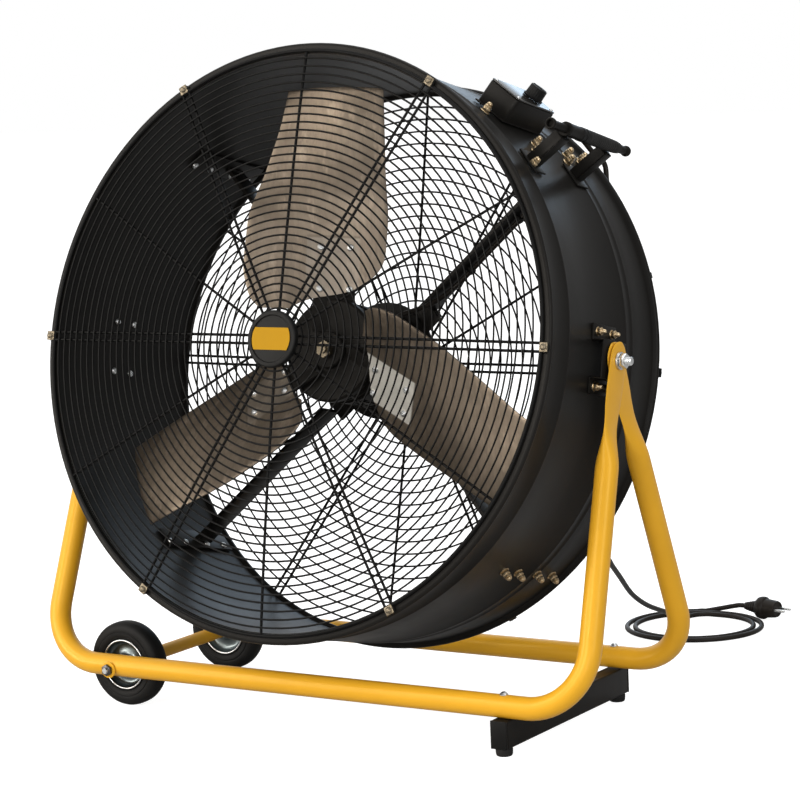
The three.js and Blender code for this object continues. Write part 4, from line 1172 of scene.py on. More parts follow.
def make_hub():
    """The turned hub with three flat arms at the blades' pitch."""
    s = bpy.context.scene.fan_blade
    r, plane = s.hub / MM, s.plane / MM
    y0, y1 = plane + 7, plane - 7
    profile = [(0, y0), (r - 1.5, y0), (r, y0 - 1.5), (r, y1 + 3), (r - 3, y1), (60, y1)]
    profile += [(57, y1 + 1.6), (33, y1 + 1.6), (30, y1), (27, y1), (26.5, y1 - 6.5)]
    profile += [(25, y1 - 8), (0, y1 - 8)]
    disc = turned("disc", profile, 72)
    arm = block("arm", (27, -ARM_THICK / 2, -30), (160, ARM_THICK / 2, 30), 1)
    placed(arm, at(0, plane) @ Matrix.Rotation(HUB_PITCH, 4, "X"))
    arms = copies(arm, [station(angle) for angle in BLADE_ANGLES])
    dress(joined("blade_hub", disc, *arms), "motor", "rotor", DRUM, ["hub"])
    coat(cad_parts["hub_nut"], "clamp")
    coat(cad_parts["motor_shaft"], "zinc")


# ---------------------------------------------------------------- pivots


WEB = 430.4  # the outer face of the brackets
BRACKET_BASE = 411.5
PIVOT_BOLTS = [(y, z) for y in (-20, 20) for z in (-37.5, 37.5)]


def make_pivot(side, name):
    """The hat-section bracket on the drum, with its bolts and inside screws."""
    base, web, half = BRACKET_BASE, WEB - 1.5, 25.5
    outline = [(base, 48), (base, half), (web, half)]
    outline += mirrored(outline)
    bracket = folded_sheet("pivot_channel_" + name, outline, 66, 3, 0.9)
    shape(bracket, lambda p: Vector((min(p.x, WEB * MM), p.y, p.z)))
    turned_over = flip(side)
    dress(bracket, "black", "drum", DRUM @ turned_over, ["pivot_bracket_" + name])
    nuts = [turned_over @ at(base + 1.5, y, z) for y, z in PIVOT_BOLTS]
    dress_many("pivot_studs_" + name, nut_stud(SMALL_NUT), nuts, "brass")
    screws = [turned_over @ at(407.2, y, z) @ INWARD for y, z in PIVOT_BOLTS]
    dress_many("pivot_screws_" + name, button(), screws, "zinc")


def make_pivot_bolt(side, name):
    """The pivot's bolt, washer and nut, with a threaded end."""
    inner, tip = WEB - 3.3, 458
    head = prism("head", 19, inner - 5, inner, 0.8)
    thread = [(0, inner - 1), (6, inner - 1), (6, 448)]
    for i in range(6):
        thread += [(5.5, 449 + 1.3 * i), (6, 449.65 + 1.3 * i)]
    thread += [(5.4, tip - 1), (4.2, tip), (0, tip)]
    bolt = joined("pivot_bolt_body_" + name, head, turned("thread", thread, 24))
    lay = Matrix.Translation((0, 0, AXIS_HEIGHT)) @ flip(side) @ OUTWARD
    dress(bolt, "zinc", "frame", lay, ["pivot_bolt_" + name])
    node = "pivot_washer_" + name
    y0, y1 = reach(node, 0)
    profile = [(6.4, y0), (12.2, y0), (12.5, y0 + 0.4), (12.2, y1), (6.7, y1), (6.4, y0)]
    dress_round("pivot_washer_disc_" + name, profile, 40, "zinc", "frame", lay, [node])
    node = "pivot_nut_" + name
    nut = prism("pivot_nut_hex_" + name, 18.8, *reach(node, 0), 1.1)
    dress(nut, "zinc", "frame", lay, [node])


# ---------------------------------------------------------------- stand


# Along each ear from the pivot, in metres: where it ends, narrows, opens and is round.
EAR = 26 * MM
NARROW_FROM, NARROW_TO = 40 * MM, 95 * MM
FLAT_FROM = 66 * MM  # where the leg turns outwards
THIN_TO, ROUND_FROM = 80 * MM, 150 * MM
FLAT_HALF, NARROW_HALF = 23 * MM, 18 * MM  # half the width at the pivot and at the narrow place
FLAT_THIN = 1.8 * MM  # half the thickness
EAR_SIDE = 400 * MM  # only the ears lie this far out
EAR_STEPS = (-26, -25.4, -24, -22, -19, -15, -10, -5, 0, 20, 40, 58)
BEND_STEPS = 16


def ease(t):
    t = min(1, max(0, t))
    return t * t * (3 - 2 * t)


class Leg:
    """The plane and the line of one U-shaped tube; side is -1 in front."""

    def __init__(self, side, ear_x):
        s = bpy.context.scene.fan_stand
        self.tube = s.tube
        self.pivot = Vector((ear_x, 0, AXIS_HEIGHT))
        self.corner = Vector((s.corner_x, side * s.rail_y, s.rail_z))
        self.down = Vector((0, self.corner.y, self.corner.z - self.pivot.z)).normalized()
        self.normal = Vector((1, 0, 0)).cross(-self.down).normalized()
        flat_end = self.pivot + self.down * FLAT_FROM
        self.slant = (self.corner - flat_end).normalized()
        self.line = [self.pivot + self.down * d * MM for d in EAR_STEPS]
        self.line += [flat_end + self.slant * d * MM for d in range(0, 96, 6)]
        self.bend(s.bend)

    def bend(self, radius):
        inward = Vector((-1, 0, 0))
        angle = self.slant.angle(inward)
        start = self.corner - self.slant * radius * math.tan(angle / 2)
        across = (inward - self.slant * inward.dot(self.slant)).normalized()
        centre = start + across * radius
        for i in range(BEND_STEPS + 1):
            a = angle * i / BEND_STEPS
            place = centre - across * radius * math.cos(a) + self.slant * radius * math.sin(a)
            self.line.append(place)

    def pressed(self, p):
        """Flattens the tube towards its ear."""
        side = 1 if p.x > 0 else -1
        q = Vector((abs(p.x), p.y, p.z))
        along = (q - self.pivot).dot(self.down)
        if along > ROUND_FROM or q.x < EAR_SIDE:
            return p
        centre_x = self.pivot.x
        if along > FLAT_FROM:
            centre_x += (along - FLAT_FROM) * self.slant.x / self.slant.dot(self.down)
        openness = ease((along - THIN_TO) / (ROUND_FROM - THIN_TO))
        narrow = ease((along - NARROW_FROM) / (NARROW_TO - NARROW_FROM))
        widened = ease((along - NARROW_TO) / (ROUND_FROM - NARROW_TO))
        half = FLAT_HALF + (NARROW_HALF - FLAT_HALF) * narrow
        half += (self.tube - NARROW_HALF) * widened
        wide = half / self.tube
        thin = (FLAT_THIN + (self.tube - FLAT_THIN) * openness) / self.tube
        if along < 0:
            wide *= math.sqrt(max(0.01, 1 - (along / EAR) ** 2))
        off = (q - self.pivot).dot(self.normal)
        q += self.normal * off * (wide - 1)
        q.x = centre_x + (q.x - centre_x) * thin
        return Vector((q.x * side, q.y, q.z))


def make_tube(side, end):
    """One bent tube of the stand, with flattened ears that lie on each other at the pivots."""
    ear_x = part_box("pivot_washer_right")[0][0] - GAP * MM - FLAT_THIN
    if side > 0:
        ear_x -= 2 * FLAT_THIN + GAP * MM
    leg = Leg(side, ear_x)
    left = [Vector((-p.x, p.y, p.z)) for p in reversed(leg.line)]
    tube = shape(wire(end + "_frame", leg.line + left, leg.tube, 28), leg.pressed)
    dress(tube, "yellow", "frame", HERE, [end + "_tube"], 45)


FOOT_X, FOOT_Y = 331, 163.6
WHEEL_X, WHEEL_Y = -330.5, 125
AXLE_DISH = ((0, 0), (11.5, 0), (12.5, 0.8), (12, 2), (10, 2.4), (0, 2.4))
AXLE_END = ((0, 7), (4.8, 7), (4.8, 9.5), (4, 10.8), (0, 10.8))


def make_rail_bolts():
    """Domed bolt ends on the rails over the foot bar, and the axle's nuts."""
    s = bpy.context.scene.fan_stand
    for side, end in ENDS:
        profile = [(0, 0), (6, 0), (6, 1.2)] + dome_profile(5, 3.6, 1.2)
        spot = Matrix.Translation((FOOT_X * MM, side * s.rail_y, s.rail_z + s.tube - 0.3 * MM))
        place, node = spot @ UPRIGHT, "rail_bolt_" + end
        dress_round("rail_bolt_dome_" + end, profile, 20, "zinc", "frame", place, [node])
        node = "axle_nut_" + end
        near = reach(node, 1)[0]
        spot = Matrix.Translation((WHEEL_X * MM, 0, s.wheel)) @ flip(side, "Z")
        dish = [(r, near + y) for r, y in AXLE_DISH]
        dress_round("axle_dish_" + end, dish, 36, "yellow", "frame", spot)
        nut = prism("axle_nut_hex_" + end, 15.5, near + 2.2, near + 7.5, 0.9)
        dress(nut, "steel", "frame", spot, [node])
        tip = [(r, near + y) for r, y in AXLE_END]
        dress_round("axle_end_" + end, tip, 20, "zinc", "frame", spot)


# ---------------------------------------------------------------- wheels


TYRE_INNER = 38.3
RIM_EDGE = 14.4  # how far its rolled edges are from the wheel's middle


def make_wheel(side, end):
    """A solid rubber tyre on a pressed zinc rim."""
    s = bpy.context.scene.fan_stand
    w, r, inner = s.wheel_width / MM / 2, s.wheel / MM, TYRE_INNER
    half = [(inner, 0), (inner, w - 4), (inner + 1.5, w - 2), (inner + 4, w - 0.6), (inner + 7, w)]
    half += [(inner + 9, w), (inner + 10, w - 1.1), (inner + 13, w - 0.4), (r - 7, w - 1.6)]
    half += [(r - 4, w - 3.4), (r - 1.6, w - 6.6), (r - 1.3, w - 8), (r - 0.5, w - 9.5)]
    half += [(r - 0.1, w - 13), (r, 0)]
    body, place = "wheel_" + end, at(WHEEL_X, side * WHEEL_Y, r)
    profile = half + mirrored(half)[1:]
    dress_round("tyre_ring_" + end, profile, 96, "tyre", body, place, ["tyre_" + end], 45)
    profile = rim_profile()
    dress_round("wheel_rim_" + end, profile, 72, "rim", body, place, ["rim_" + end], 40)
    edges = [ring("edge", 0.0362, y * MM, 0.0029, 10, 0.005) for y in (-RIM_EDGE, RIM_EDGE)]
    dress(joined("rim_edge_" + end, *edges), "zinc", body, place, (), 60)


def rim_profile():
    """Two dished halves back to back, with a rolled edge and a hub sleeve."""
    half = [(6.4, 16.4), (11, 16.4), (12.6, 15), (13, 9), (15, 6), (20, 4.2), (27, 3.6)]
    half += [(31, 5), (33.5, 9), (34.5, 13)] + arc((36, 14), 1.6, 180, 20, 4)
    half += [(38, 12.5), (38, 0)]
    return half + mirrored(half)[1:] + [half[0]]


def make_axle():
    """The axle's rod and the spacer tube between the wheels."""
    spot = Matrix.Translation((WHEEL_X * MM, 0, bpy.context.scene.fan_stand.wheel))
    end = room("axle_spacer")[1][1]
    half = [(6.4, -end), (9.4, -end), (10, -end + 0.6)]
    profile = half + mirrored(half) + [half[0]]
    dress_round("axle_tube", profile, 40, "yellow", "frame", spot, ["axle_spacer"])
    end = room("axle")[1][1]
    half = [(0, -end), (5.4, -end), (6, -end + 0.6)]
    dress_round("axle_rod", half + mirrored(half), 28, "zinc", "frame", spot, ["axle"])


# ---------------------------------------------------------------- foot bar


def make_foot_bar():
    """The rectangular tube across the rails, with end plugs and rubber feet."""
    bar = block("foot_tube", *room("foot_bar"), 2.2, 3)
    dress(bar, "black", "frame", HERE, ["foot_bar"])
    for side, end in ENDS:
        node = "foot_cap_" + end
        plug = block("foot_plug_" + end, *room(node), 1, 3)
        dress(plug, "plastic", "frame", HERE, [node])
        node = "foot_pad_" + end
        top = room(node)[1][2]
        profile = [(0, 0), (9.5, 0), (10.6, 0.6), (11.6, 3), (12, top - 2), (11.6, top), (0, top)]
        spot = at(FOOT_X, side * FOOT_Y) @ UPRIGHT
        dress_round("rubber_foot_" + end, profile, 40, "rubber", "frame", spot, [node])


# ---------------------------------------------------------------- control box and handle


BOX_ANGLE = 54.6
BOX_BASE, BOX_TOP = 412.5, 448
BOX_LENGTH, BOX_WIDTH = 104, 57
BOX_MIDDLE = -2
KNOB_Y = 21
FLUTES, FLUTE_DEPTH = 24, 0.03
POINTER_TURN = 205  # where the pointer is round the knob's axis, in degrees


def make_control_box():
    """The sheet box on its base plate, its lid with four screws, and the cable gland."""
    base, top, l, w = BOX_BASE, BOX_TOP, BOX_LENGTH / 2, BOX_WIDTH / 2
    place = DRUM @ station(BOX_ANGLE, 0, BOX_MIDDLE)
    plate = block("plate", (base, -l - 5, -w), (base + 2.5, l + 5, w), 1)
    case = tile("case", (base + 2, -l, -w), (top, l, w), 6, 1)
    dress(joined("control_case", plate, case), "black", "drum", place, ["control_box"])
    lid = tile("control_cover", (top + GAP, -l, -w), (top + GAP + 3, l, w), 6, 1.3)
    dress(lid, "lid", "drum", place, ["control_lid"])
    corners = [at(top + 3.2, y, z) for y in (6 - l, l - 6) for z in (6 - w, w - 6)]
    dress_many("cover_screws", button(2.8, 1.6), corners, "zinc", place)
    feet = [at(base + 2.4, y) for y in (-l - 2.2, l + 2.2)]
    dress_many("case_screws", button(2.4, 1.6), feet, "zinc", place)
    end = l + GAP
    nut = prism("nut", 14.6, end, end + 9, 0.8)
    profile = [(0, end + 8), (6.6, end + 8), (6.2, end + 11), (5, end + 14), (0, end + 14)]
    gland = joined("lead_gland", nut, turned("cone", profile, 28))
    dress(gland, "plastic", "drum", place @ at(base + 16.5, 0, -12), ["cable_gland"])


def fluted(p):
    """Presses the knob's flutes in."""
    if math.hypot(p.x, p.z) < 12 * MM or not 3 * MM < p.y < 16.6 * MM:
        return p
    notch = 1 - FLUTE_DEPTH * (0.5 + 0.5 * math.cos(FLUTES * math.atan2(p.z, p.x)))
    return Vector((p.x * notch, p.y, p.z * notch))


def make_knob():
    """The speed knob: a fluted skirt, a domed top and two white pointer lines."""
    profile = [(0, 0), (14.6, 0), (15, 0.6), (15, 2.4), (13.6, 3.2), (12.8, 16)]
    profile += arc((11.3, 16.4), 1.5, 0, 90, 4) + [(0, 17.6)]
    knob = shape(turned("knob", profile, 144), fluted)
    grip = block("grip", (-1.6, 17, -11.5), (1.6, 18.6, 11.5), 0.7)
    place = DRUM @ station(BOX_ANGLE, BOX_TOP + 3.6, KNOB_Y) @ OUTWARD
    cap = joined("speed_knob_cap", knob, grip)
    dress(cap, "plastic", "knob", place, ["speed_knob"], 35)
    stroke = block("stroke", (-0.35, 3.2, 12.4), (0.35, 17.9, 13.3), 0.1, 1)
    lines = scatter("pointer_lines", stroke, [Matrix.Rotation(a, 4, "Y") for a in (0.07, 0.2)])
    dress(lines, "pointer", "knob", place @ turn(POINTER_TURN, "Y"))


HANDLE_ANGLE = 39.3
HANDLE_R = 481
BRACKET_Y = (-68, 55)
BAR_ENDS = (-121, 108)
GRIP_RIBS = 14
HANDLE_STUDS = ((43.1, -31), (38.4, -76), (43.2, 62.6), (44.6, 113.4), (53.1, -83))


def make_handle():
    """Two folded brackets, a bar with a hollow end, a bush, a collar and a ribbed grip."""
    place = DRUM @ station(HANDLE_ANGLE)
    for y, end in zip(BRACKET_Y, ("front", "rear")):
        dress(handle_bracket(y, end), "black", "drum", place, ["handle_bracket_" + end])
    on_axis = place @ at(HANDLE_R)
    y0, y1 = BAR_ENDS
    bar = [(0, y0 + 7), (5.2, y0 + 7), (5.2, y0 + 0.6), (5.8, y0), (7.2, y0 + 0.4)]
    bar += [(8, y0 + 1.6), (8, y0 + 4), (7.6, y0 + 6.6), (6, y0 + 8.5), (6, y0 + 24)]
    bar += [(6, y1 - 17), (5.4, y1 - 15)] + arc((0, y1 - 7.6), 7.8, -46, 90, 10)
    bush = [(6.1, -78), (9.6, -78), (10, -77.4), (10, -71), (9.4, -70), (9.4, -38.7)]
    bush += [(6.1, -38.7), (6.1, -78)]
    grip = [(6.3, -18), (8.8, -18), (9.5, -17)]
    for i in range(GRIP_RIBS):
        y, rib = -14 + 5.2 * i, 9.7 - 0.05 * i
        grip += [(rib, y), (rib, y + 3.6), (rib - 0.6, y + 4.1), (rib - 0.6, y + 4.8)]
    grip += [(9, 60), (8.6, 68), (7.6, 75.6), (6.3, 76), (6.3, -18)]
    collar = [(6.3, -38.4), (9.2, -38.4), (10, -37.4), (10, -31.4), (9, -30.4), (9, -28.4)]
    collar += [(10, -27.4), (10, -19.6), (9.2, -18.6), (6.3, -18.6), (6.3, -38.4)]
    for name, profile, steps, finish, nodes, smooth in (
        ("handle_rod", bar, 36, "motor", ["handle_bar"], 40),
        ("handle_bush", bush, 36, "motor", (), 40),
        ("handle_sleeve", grip, 40, "rubber", ["handle_grip"], 30),
        ("handle_clamp", collar, 40, "plastic", ["handle_collar"], 32),
    ):
        dress_round(name, profile, steps, finish, "drum", on_axis, nodes, smooth)


def handle_bracket(y, end):
    """A folded channel with a foot flange and a saddle under the bar."""
    x0, x1, half, thick = BOX_BASE, HANDLE_R - 9.8, 9, 3
    foot = block("foot", (x0, y - 16, -20), (x0 + thick, y + 16, 20), 1)
    front = block("front", (x0, y - half, -half), (x1, y - half + thick, half))
    side = block("side", (x0, y - half, -half), (x1, y + half, thick - half))
    top = block("top", (x1 - thick, y - half, -half), (x1, y + half, half))
    return joined("handle_stand_" + end, foot, front, side, top)


def make_handle_studs():
    """The brass nuts on the handle's feet and in front of the control box."""
    places = [station(angle, 412.8, y) for angle, y in HANDLE_STUDS]
    dress_many("handle_nuts", nut_stud(), places, "brass")


# ---------------------------------------------------------------- cords


LEAD_R, LEAD_Y = 401, 174.57
LEAD_LAST = -37  # the angle where the lead leaves the drum
GLAND_R, GLAND_END = 429, 64.3


def around(angle, r, y):
    a = math.radians(angle)
    return Vector((r * MM * math.cos(a), y * MM, r * MM * math.sin(a)))


def make_supply_lead():
    """The lead from the gland over the ring and down behind the rear guard, in its clips."""
    start = BOX_ANGLE - math.degrees(12 / GLAND_R)
    route = [
        (start, GLAND_R, GLAND_END + GAP),
        (start - 0.2, GLAND_R + 1, GLAND_END + 22),
        (start - 3, GLAND_R + 8, GLAND_END + 55),
        (start - 6, 429, 150.5),
        (start - 8, 424, 176.5),
        (start - 12, 407, LEAD_Y + 3),
    ]
    route += [(angle, LEAD_R, LEAD_Y) for angle in range(34, LEAD_LAST + 2, -6)]
    route.append((LEAD_LAST, LEAD_R, LEAD_Y))
    line = smooth_line([around(*place) for place in route], 6)
    lead = wire("supply_cable", line, bpy.context.scene.fan_cord.radius - 0.1 * MM, 12)
    dress(lead, "cord", "drum", DRUM, ["supply_lead"], 60)
    for angle, name in ((20, "top"), (LEAD_LAST + 4, "bottom")):
        y = LEAD_Y
        bridge = block("bridge", (391, y + 4.3, -4.5), (411, y + 7.3, 4.5), 1, 3)
        leg = block("leg", (391, y - 4, -4.5), (395, y + 6, 4.5), 1, 3)
        saddle = joined("lead_saddle_" + name, bridge, leg)
        dress(saddle, "plastic", "drum", DRUM @ station(angle), ["lead_clip_" + name])


COIL_MIDDLE = (224 * MM, 645 * MM)
COIL_TURNS = 1.93
COIL_START = 92
COIL_STEPS = 48
CORD_STEPS = 7  # between two points of the hanging stretch
PLUG_HEADING = Vector((0.991, -0.135, 0))
PLUG_ENTRY = Vector((262 * MM, 752 * MM, 18.8 * MM))

# The hanging stretch below the drum, and where it turns on the floor before the coil.
HANGING = (
    (303, 196, 203),
    (288, 244, 180),
    (269, 300, 154),
    (237, 400, 105),
    (217, 490, 68),
    (204, 580, 38),
    (192, 635, 19),
    (182, 678, 7.5),
)
ON_FLOOR = ((180.5, 703), (184, 716), (192, 726.5))


def coil_point(turns):
    s = bpy.context.scene.fan_cord
    a = math.radians(COIL_START - 360 * turns)
    r = s.coil + s.pitch * turns
    x = COIL_MIDDLE[0] + r * math.cos(a) * 1.02
    return Vector((x, COIL_MIDDLE[1] + r * math.sin(a), s.radius + 0.3 * MM))


def cord_route():
    """The free cord's line, from the last clip to the plug."""
    s = bpy.context.scene.fan_cord
    lead_end = DRUM @ around(LEAD_LAST, LEAD_R, LEAD_Y)
    heading = (DRUM.to_3x3() @ around(LEAD_LAST - 90, 1 / MM, 0)).normalized()
    first = coil_point(0)
    back = (first - coil_point(1 / COIL_STEPS)).normalized()
    land = first + back * (2 * s.radius + 0.3 * MM)
    stretch = [lead_end, lead_end + heading * 9 * MM]
    stretch.append(lead_end + heading * 19 * MM + Vector((0, 9 * MM, 0)))
    stretch += [Vector(place) * MM for place in HANGING]
    stretch += [Vector((x, y, land.z / MM)) * MM for x, y in ON_FLOOR]
    stretch += [land + back * 9 * MM, land]
    line = smooth_line(stretch, CORD_STEPS)[:-1]
    steps = round(COIL_TURNS * COIL_STEPS)
    line += [coil_point(i / COIL_STEPS) for i in range(steps + 1)]
    last, along = line[-1], (line[-1] - line[-2]).normalized()
    entry = PLUG_ENTRY
    before = (entry.x - PLUG_HEADING.x * 20 * MM, entry.y - PLUG_HEADING.y * 20 * MM)
    tail = [
        last,
        last + along * 14 * MM,
        Vector((*before, entry.z - 2 * MM)),
        entry - PLUG_HEADING * 8 * MM,
        entry - PLUG_HEADING * 0.6 * MM,
    ]
    line += smooth_line(tail, 6)[1:]
    return [Vector((p.x, p.y, max(p.z, land.z))) for p in line]


def make_mains_cord(plug_pieces):
    """The free cord: down from the last clip, about twice round on the floor, to the plug."""
    s = bpy.context.scene.fan_cord
    line = cord_route()
    cord = wire("mains_cord", line, s.radius - 0.05 * MM, 12)
    smoothed(cord, 60)
    coat(cord, "cord")
    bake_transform(cord)
    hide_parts("cord_drop", "cord_coil")


PLUG_NECK = 22  # its length
PIN_HALF = 9.5  # half the distance between the pins


def make_plug():
    """A moulded plug: ribbed neck, flange, body with a grip and two pins."""
    n = PLUG_NECK
    profile = [(0, 0), (5.8, 0), (6.2, 2)]
    for i in range(4):
        y = 4.6 * i
        profile += [(6.6 + i, 3.5 + y), (7.2 + i, 4.5 + y), (7.2 + i, 6.6 + y), (6.4 + i, 7.4 + y)]
    profile += [(14.5, n + 2.5), (17, n + 5), (18.3, n + 9), (18.5, n + 11), (18.5, n + 15)]
    profile += [(17.6, n + 17), (16, n + 18.5), (16, n + 36), (15, n + 39), (13.5, n + 40)]
    profile += [(12.8, n + 40), (12.4, n + 38.6), (0, n + 38.4)]
    body = turned("plug_body", profile, 56)

    def pressed(p):
        if (n + 17.5) * MM < p.y:
            p.z *= 1 - 0.14 * ease((p.y / MM - n - 17.5) / 4)
        return p

    shape(body, pressed)
    heading = math.atan2(PLUG_HEADING.y, PLUG_HEADING.x) - math.pi / 2
    place = Matrix.Translation(PLUG_ENTRY) @ Matrix.Rotation(heading, 4, "Z")
    dress(body, "cord", "frame", place, ["plug"])
    y0, y1 = n + 38, n + 59
    profile = [(0, y0), (2.3, y0), (2.3, y1 - 2), (1.4, y1 - 0.2), (0, y1)]
    spots = [at(-PIN_HALF), at(PIN_HALF)]
    pins = scatter("plug_pins", turned("pin", profile, 20), spots)
    dress(pins, "zinc", "frame", place)
    return [body, pins]


# ---------------------------------------------------------------- stage


CAMERA_PLACE = Vector((2.1134, -3.1903, 0.9352))
CAMERA_RIGHT = Vector((0.8460, 0.5314, -0.0429))
CAMERA_UP = Vector((-0.0313, 0.1299, 0.9910))
LENS = 120.484
FLOOR_GREY = (0.45, 0.45, 0.45)
FLOOR_GLOW = 0.88  # to the camera only


def make_camera():
    """The camera at the photograph's angle."""
    deselect()
    bpy.ops.object.camera_add(location=CAMERA_PLACE)
    camera = named("camera")
    right = CAMERA_RIGHT.normalized()
    up = (CAMERA_UP - right * CAMERA_UP.dot(right)).normalized()
    back = right.cross(up)
    camera.rotation_mode = "QUATERNION"
    camera.rotation_quaternion = Matrix((right, up, back)).transposed().to_quaternion()
    camera.data.lens = LENS
    camera.data.sensor_width = 36
    camera.data.clip_end = 50
    bpy.context.scene.camera = camera


def make_floor():
    """A pale floor that stays white to the camera and keeps the object's shadow."""
    deselect()
    bpy.ops.mesh.primitive_plane_add(size=60, location=(0, 0, 0))
    floor = named("floor")
    pale = Finish("pale_floor", FLOOR_GREY, 0.9, Specular_IOR_Level=0.0)
    ray = pale.camera_ray()
    pale.put("Emission Color", (1, 1, 1, 1))
    pale.put("Emission Strength", FLOOR_GLOW * ray)
    floor.data.materials.append(pale.material)


# A direction, the two cosines to it between which the room's light changes, and its strength
# before and after.
BEHIND_CAMERA = (Vector((0.55, -0.8, 0.1)), -0.2, 0.8, 1.05, 0.55)
BESIDE_OBJECT = (Vector((0.6, 0.78, 0.05)), 0.35, 0.85, 1, 0.45)


def make_world():
    """A white room to the camera. It lights the object less from behind the camera and beside."""
    world = bpy.data.worlds.new("pale_room")
    world.use_nodes = True
    bpy.context.scene.world = world
    tree = Nodes(world.node_tree)
    where = tree.node("ShaderNodeTexCoord", {}, {}, "Generated")

    def fall(side, low, high, near, far):
        """From near to far as the view turns towards a side."""
        facing = tree.dot(where, side)
        limits = {"From Min": low, "From Max": high, "To Min": near, "To Max": far}
        return tree.node("ShaderNodeMapRange", {}, {"Value": facing, **limits})

    level = fall(*BEHIND_CAMERA) * fall(*BESIDE_OBJECT)
    strength = tree.node("ShaderNodeMix", {}, {0: tree.camera_ray(), 2: level, 3: 1})
    background = world.node_tree.nodes["Background"]
    tree.feed(background.inputs["Strength"], strength)
    background.inputs["Color"].default_value = (1, 1, 1, 1)


WARM = (1.0, 0.93, 0.84)
COOL = (0.5, 0.74, 1.0)
WHITE = (1.0, 1.0, 1.0)

# Softboxes: name, place, where it points, width, height, watts, colour.
LAMPS = (
    ("key", (-2.6, -3.2, 3.0), (0, 0, 0.45), 1.8, 1.6, 62, WARM),
    ("front", (-0.3, -4.5, 1.7), (0, 0, 0.5), 1.5, 0.9, 84, WARM),
    ("side", (3.6, -1.6, 1.9), (0.1, 0, 0.5), 1.0, 2.0, 40, WHITE),
    ("fill", (2.6, -3.9, 0.9), (0, 0, 0.4), 1.8, 1.2, 34, WHITE),
    ("left", (-3.2, -3.0, 0.9), (-0.4, 0, 0.3), 1.2, 1.4, 62, WARM),
    ("top", (0.4, 0.6, 3.6), (0, 0, 0.4), 2.6, 1.8, 30, WHITE),
    ("behind", (-1.1, 3.85, 1.5), (0, 0, 0.5), 2.2, 1.0, 12, COOL),
)


def make_lamps():
    for name, place, aim, wide, high, watts, tint in LAMPS:
        deselect()
        bpy.ops.object.light_add(type="AREA", location=place)
        lamp = named(name + "_light")
        lamp.data.shape = "RECTANGLE"
        lamp.data.size = wide
        lamp.data.size_y = high
        lamp.data.energy = watts
        lamp.data.color = tint
        lamp.visible_camera = False
        lamp.rotation_mode = "QUATERNION"
        lamp.rotation_quaternion = (Vector(aim) - Vector(place)).to_track_quat("-Z", "Y")


# ---------------------------------------------------------------- operators


class FAN_OT_finishes(bpy.types.Operator):
    """Mixes the paints, metals and plastics"""

    bl_idname = "fan.finishes"
    bl_label = "Finishes"

    def execute(self, context):
        mix_finishes()
        return {"FINISHED"}


class FAN_OT_cord(bpy.types.Operator):
    """Makes the lead on the drum, the plug and the free cord"""

    bl_idname = "fan.cord"
    bl_label = "Mains cord"

    def execute(self, context):
        make_supply_lead()
        make_mains_cord(make_plug())
        return {"FINISHED"}


class FAN_OT_drum(bpy.types.Operator):
    """Makes the drum's sheet with its beaded rings"""

    bl_idname = "fan.drum"
    bl_label = "Drum"

    def execute(self, context):
        make_drum_sheet(context.scene.fan_drum)
        return {"FINISHED"}


class FAN_OT_guards(bpy.types.Operator):
    """Makes both wire guards, their clamps and their caps"""

    bl_idname = "fan.guards"
    bl_label = "Guards"

    def execute(self, context):
        s = context.scene.fan_guard
        make_guard(-1, "front", s.front_pitch)
        make_guard(1, "rear", s.rear_pitch)
        make_guard_clamps(-1, "front", "clamp")
        make_guard_clamps(1, "rear", "wire")
        make_front_cap()
        make_rear_cap()
        return {"FINISHED"}


class FAN_OT_motor(bpy.types.Operator):
    """Makes the motor, its mount, the struts and the motor's lead"""

    bl_idname = "fan.motor"
    bl_label = "Motor and struts"

    def execute(self, context):
        make_motor()
        make_motor_mount()
        for name, angle in STRUT_ANGLES.items():
            make_strut(name, angle)
        make_strut_bolts()
        make_motor_cable()
        return {"FINISHED"}


class FAN_OT_rotor(bpy.types.Operator):
    """Makes the hub, the three blades and their bolts"""

    bl_idname = "fan.rotor"
    bl_label = "Hub and blades"

    def execute(self, context):
        make_hub()
        for k, angle in enumerate(BLADE_ANGLES):
            make_blade(k + 1, angle)
        make_blade_bolts()
        return {"FINISHED"}


class FAN_OT_pivots(bpy.types.Operator):
    """Makes the pivots' brackets, bolts, washers and nuts"""

    bl_idname = "fan.pivots"
    bl_label = "Pivots"

    def execute(self, context):
        for side, name in ((1, "right"), (-1, "left")):
            make_pivot(side, name)
            make_pivot_bolt(side, name)
        return {"FINISHED"}


class FAN_OT_stand(bpy.types.Operator):
    """Makes the stand's tubes, the foot bar and their bolts"""

    bl_idname = "fan.stand"
    bl_label = "Stand"

    def execute(self, context):
        for side, end in ENDS:
            make_tube(side, end)
        make_foot_bar()
        make_rail_bolts()
        return {"FINISHED"}


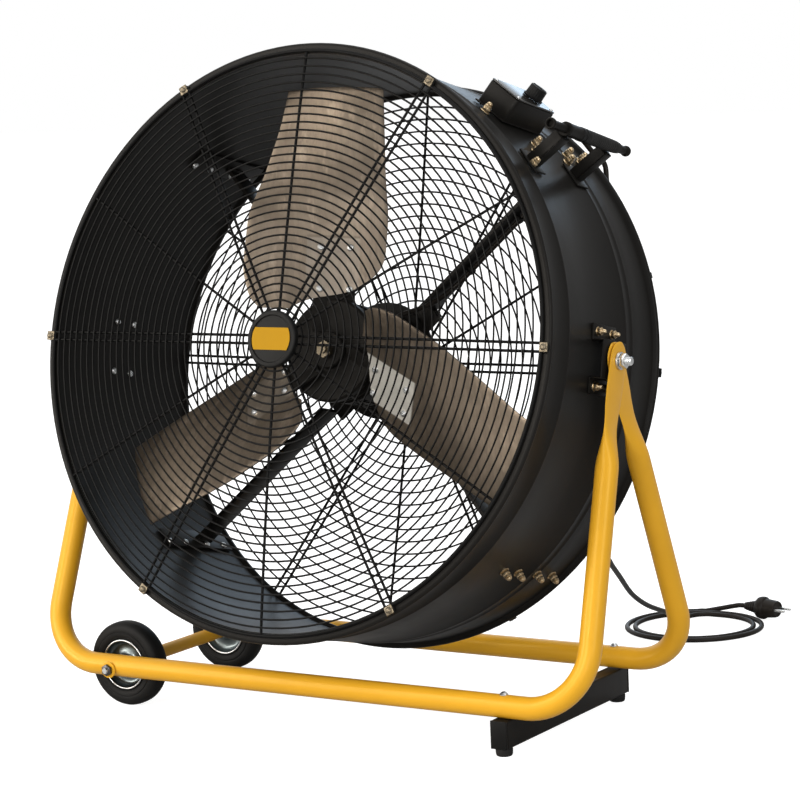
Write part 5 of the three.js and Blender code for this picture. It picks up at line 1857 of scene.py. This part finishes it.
class FAN_OT_wheels(bpy.types.Operator):
    """Makes the wheels, the axle and its spacer"""

    bl_idname = "fan.wheels"
    bl_label = "Wheels"

    def execute(self, context):
        for side, end in ENDS:
            make_wheel(side, end)
        make_axle()
        return {"FINISHED"}


class FAN_OT_controls(bpy.types.Operator):
    """Makes the control box, its knob and the carrying handle"""

    bl_idname = "fan.controls"
    bl_label = "Controls and handle"

    def execute(self, context):
        make_control_box()
        make_knob()
        make_handle()
        make_handle_studs()
        return {"FINISHED"}


class FAN_OT_stage(bpy.types.Operator):
    """Makes the camera, the floor, the room and the lamps"""

    bl_idname = "fan.stage"
    bl_label = "Stage"

    def execute(self, context):
        make_camera()
        make_floor()
        make_world()
        make_lamps()
        context.scene.view_settings.view_transform = "Standard"
        return {"FINISHED"}


OPERATORS = (
    FAN_OT_finishes,
    FAN_OT_stage,
    FAN_OT_cord,
    FAN_OT_drum,
    FAN_OT_guards,
    FAN_OT_motor,
    FAN_OT_rotor,
    FAN_OT_pivots,
    FAN_OT_stand,
    FAN_OT_wheels,
    FAN_OT_controls,
)


class FAN_PT_panel(bpy.types.Panel):
    """Lists the fan's pieces"""

    bl_label = "Drum fan"
    bl_idname = "FAN_PT_panel"
    bl_space_type = "VIEW_3D"
    bl_region_type = "UI"
    bl_category = "Drum fan"

    def draw(self, context):
        for operator in OPERATORS:
            self.layout.operator(operator.bl_idname)


def register():
    for group in GROUPS.values():
        bpy.utils.register_class(group)
    for name, group in GROUPS.items():
        setattr(bpy.types.Scene, name, PointerProperty(type=group))
    for operator in OPERATORS:
        bpy.utils.register_class(operator)
    bpy.utils.register_class(FAN_PT_panel)


def unregister():
    bpy.utils.unregister_class(FAN_PT_panel)
    for operator in reversed(OPERATORS):
        bpy.utils.unregister_class(operator)
    for name in GROUPS:
        delattr(bpy.types.Scene, name)
    for group in reversed(GROUPS.values()):
        bpy.utils.unregister_class(group)


def main():
    register()
    for operator in OPERATORS:
        group, name = operator.bl_idname.split(".")
        getattr(getattr(bpy.ops, group), name)()
    deselect()


if __name__ == "__main__":
    main()
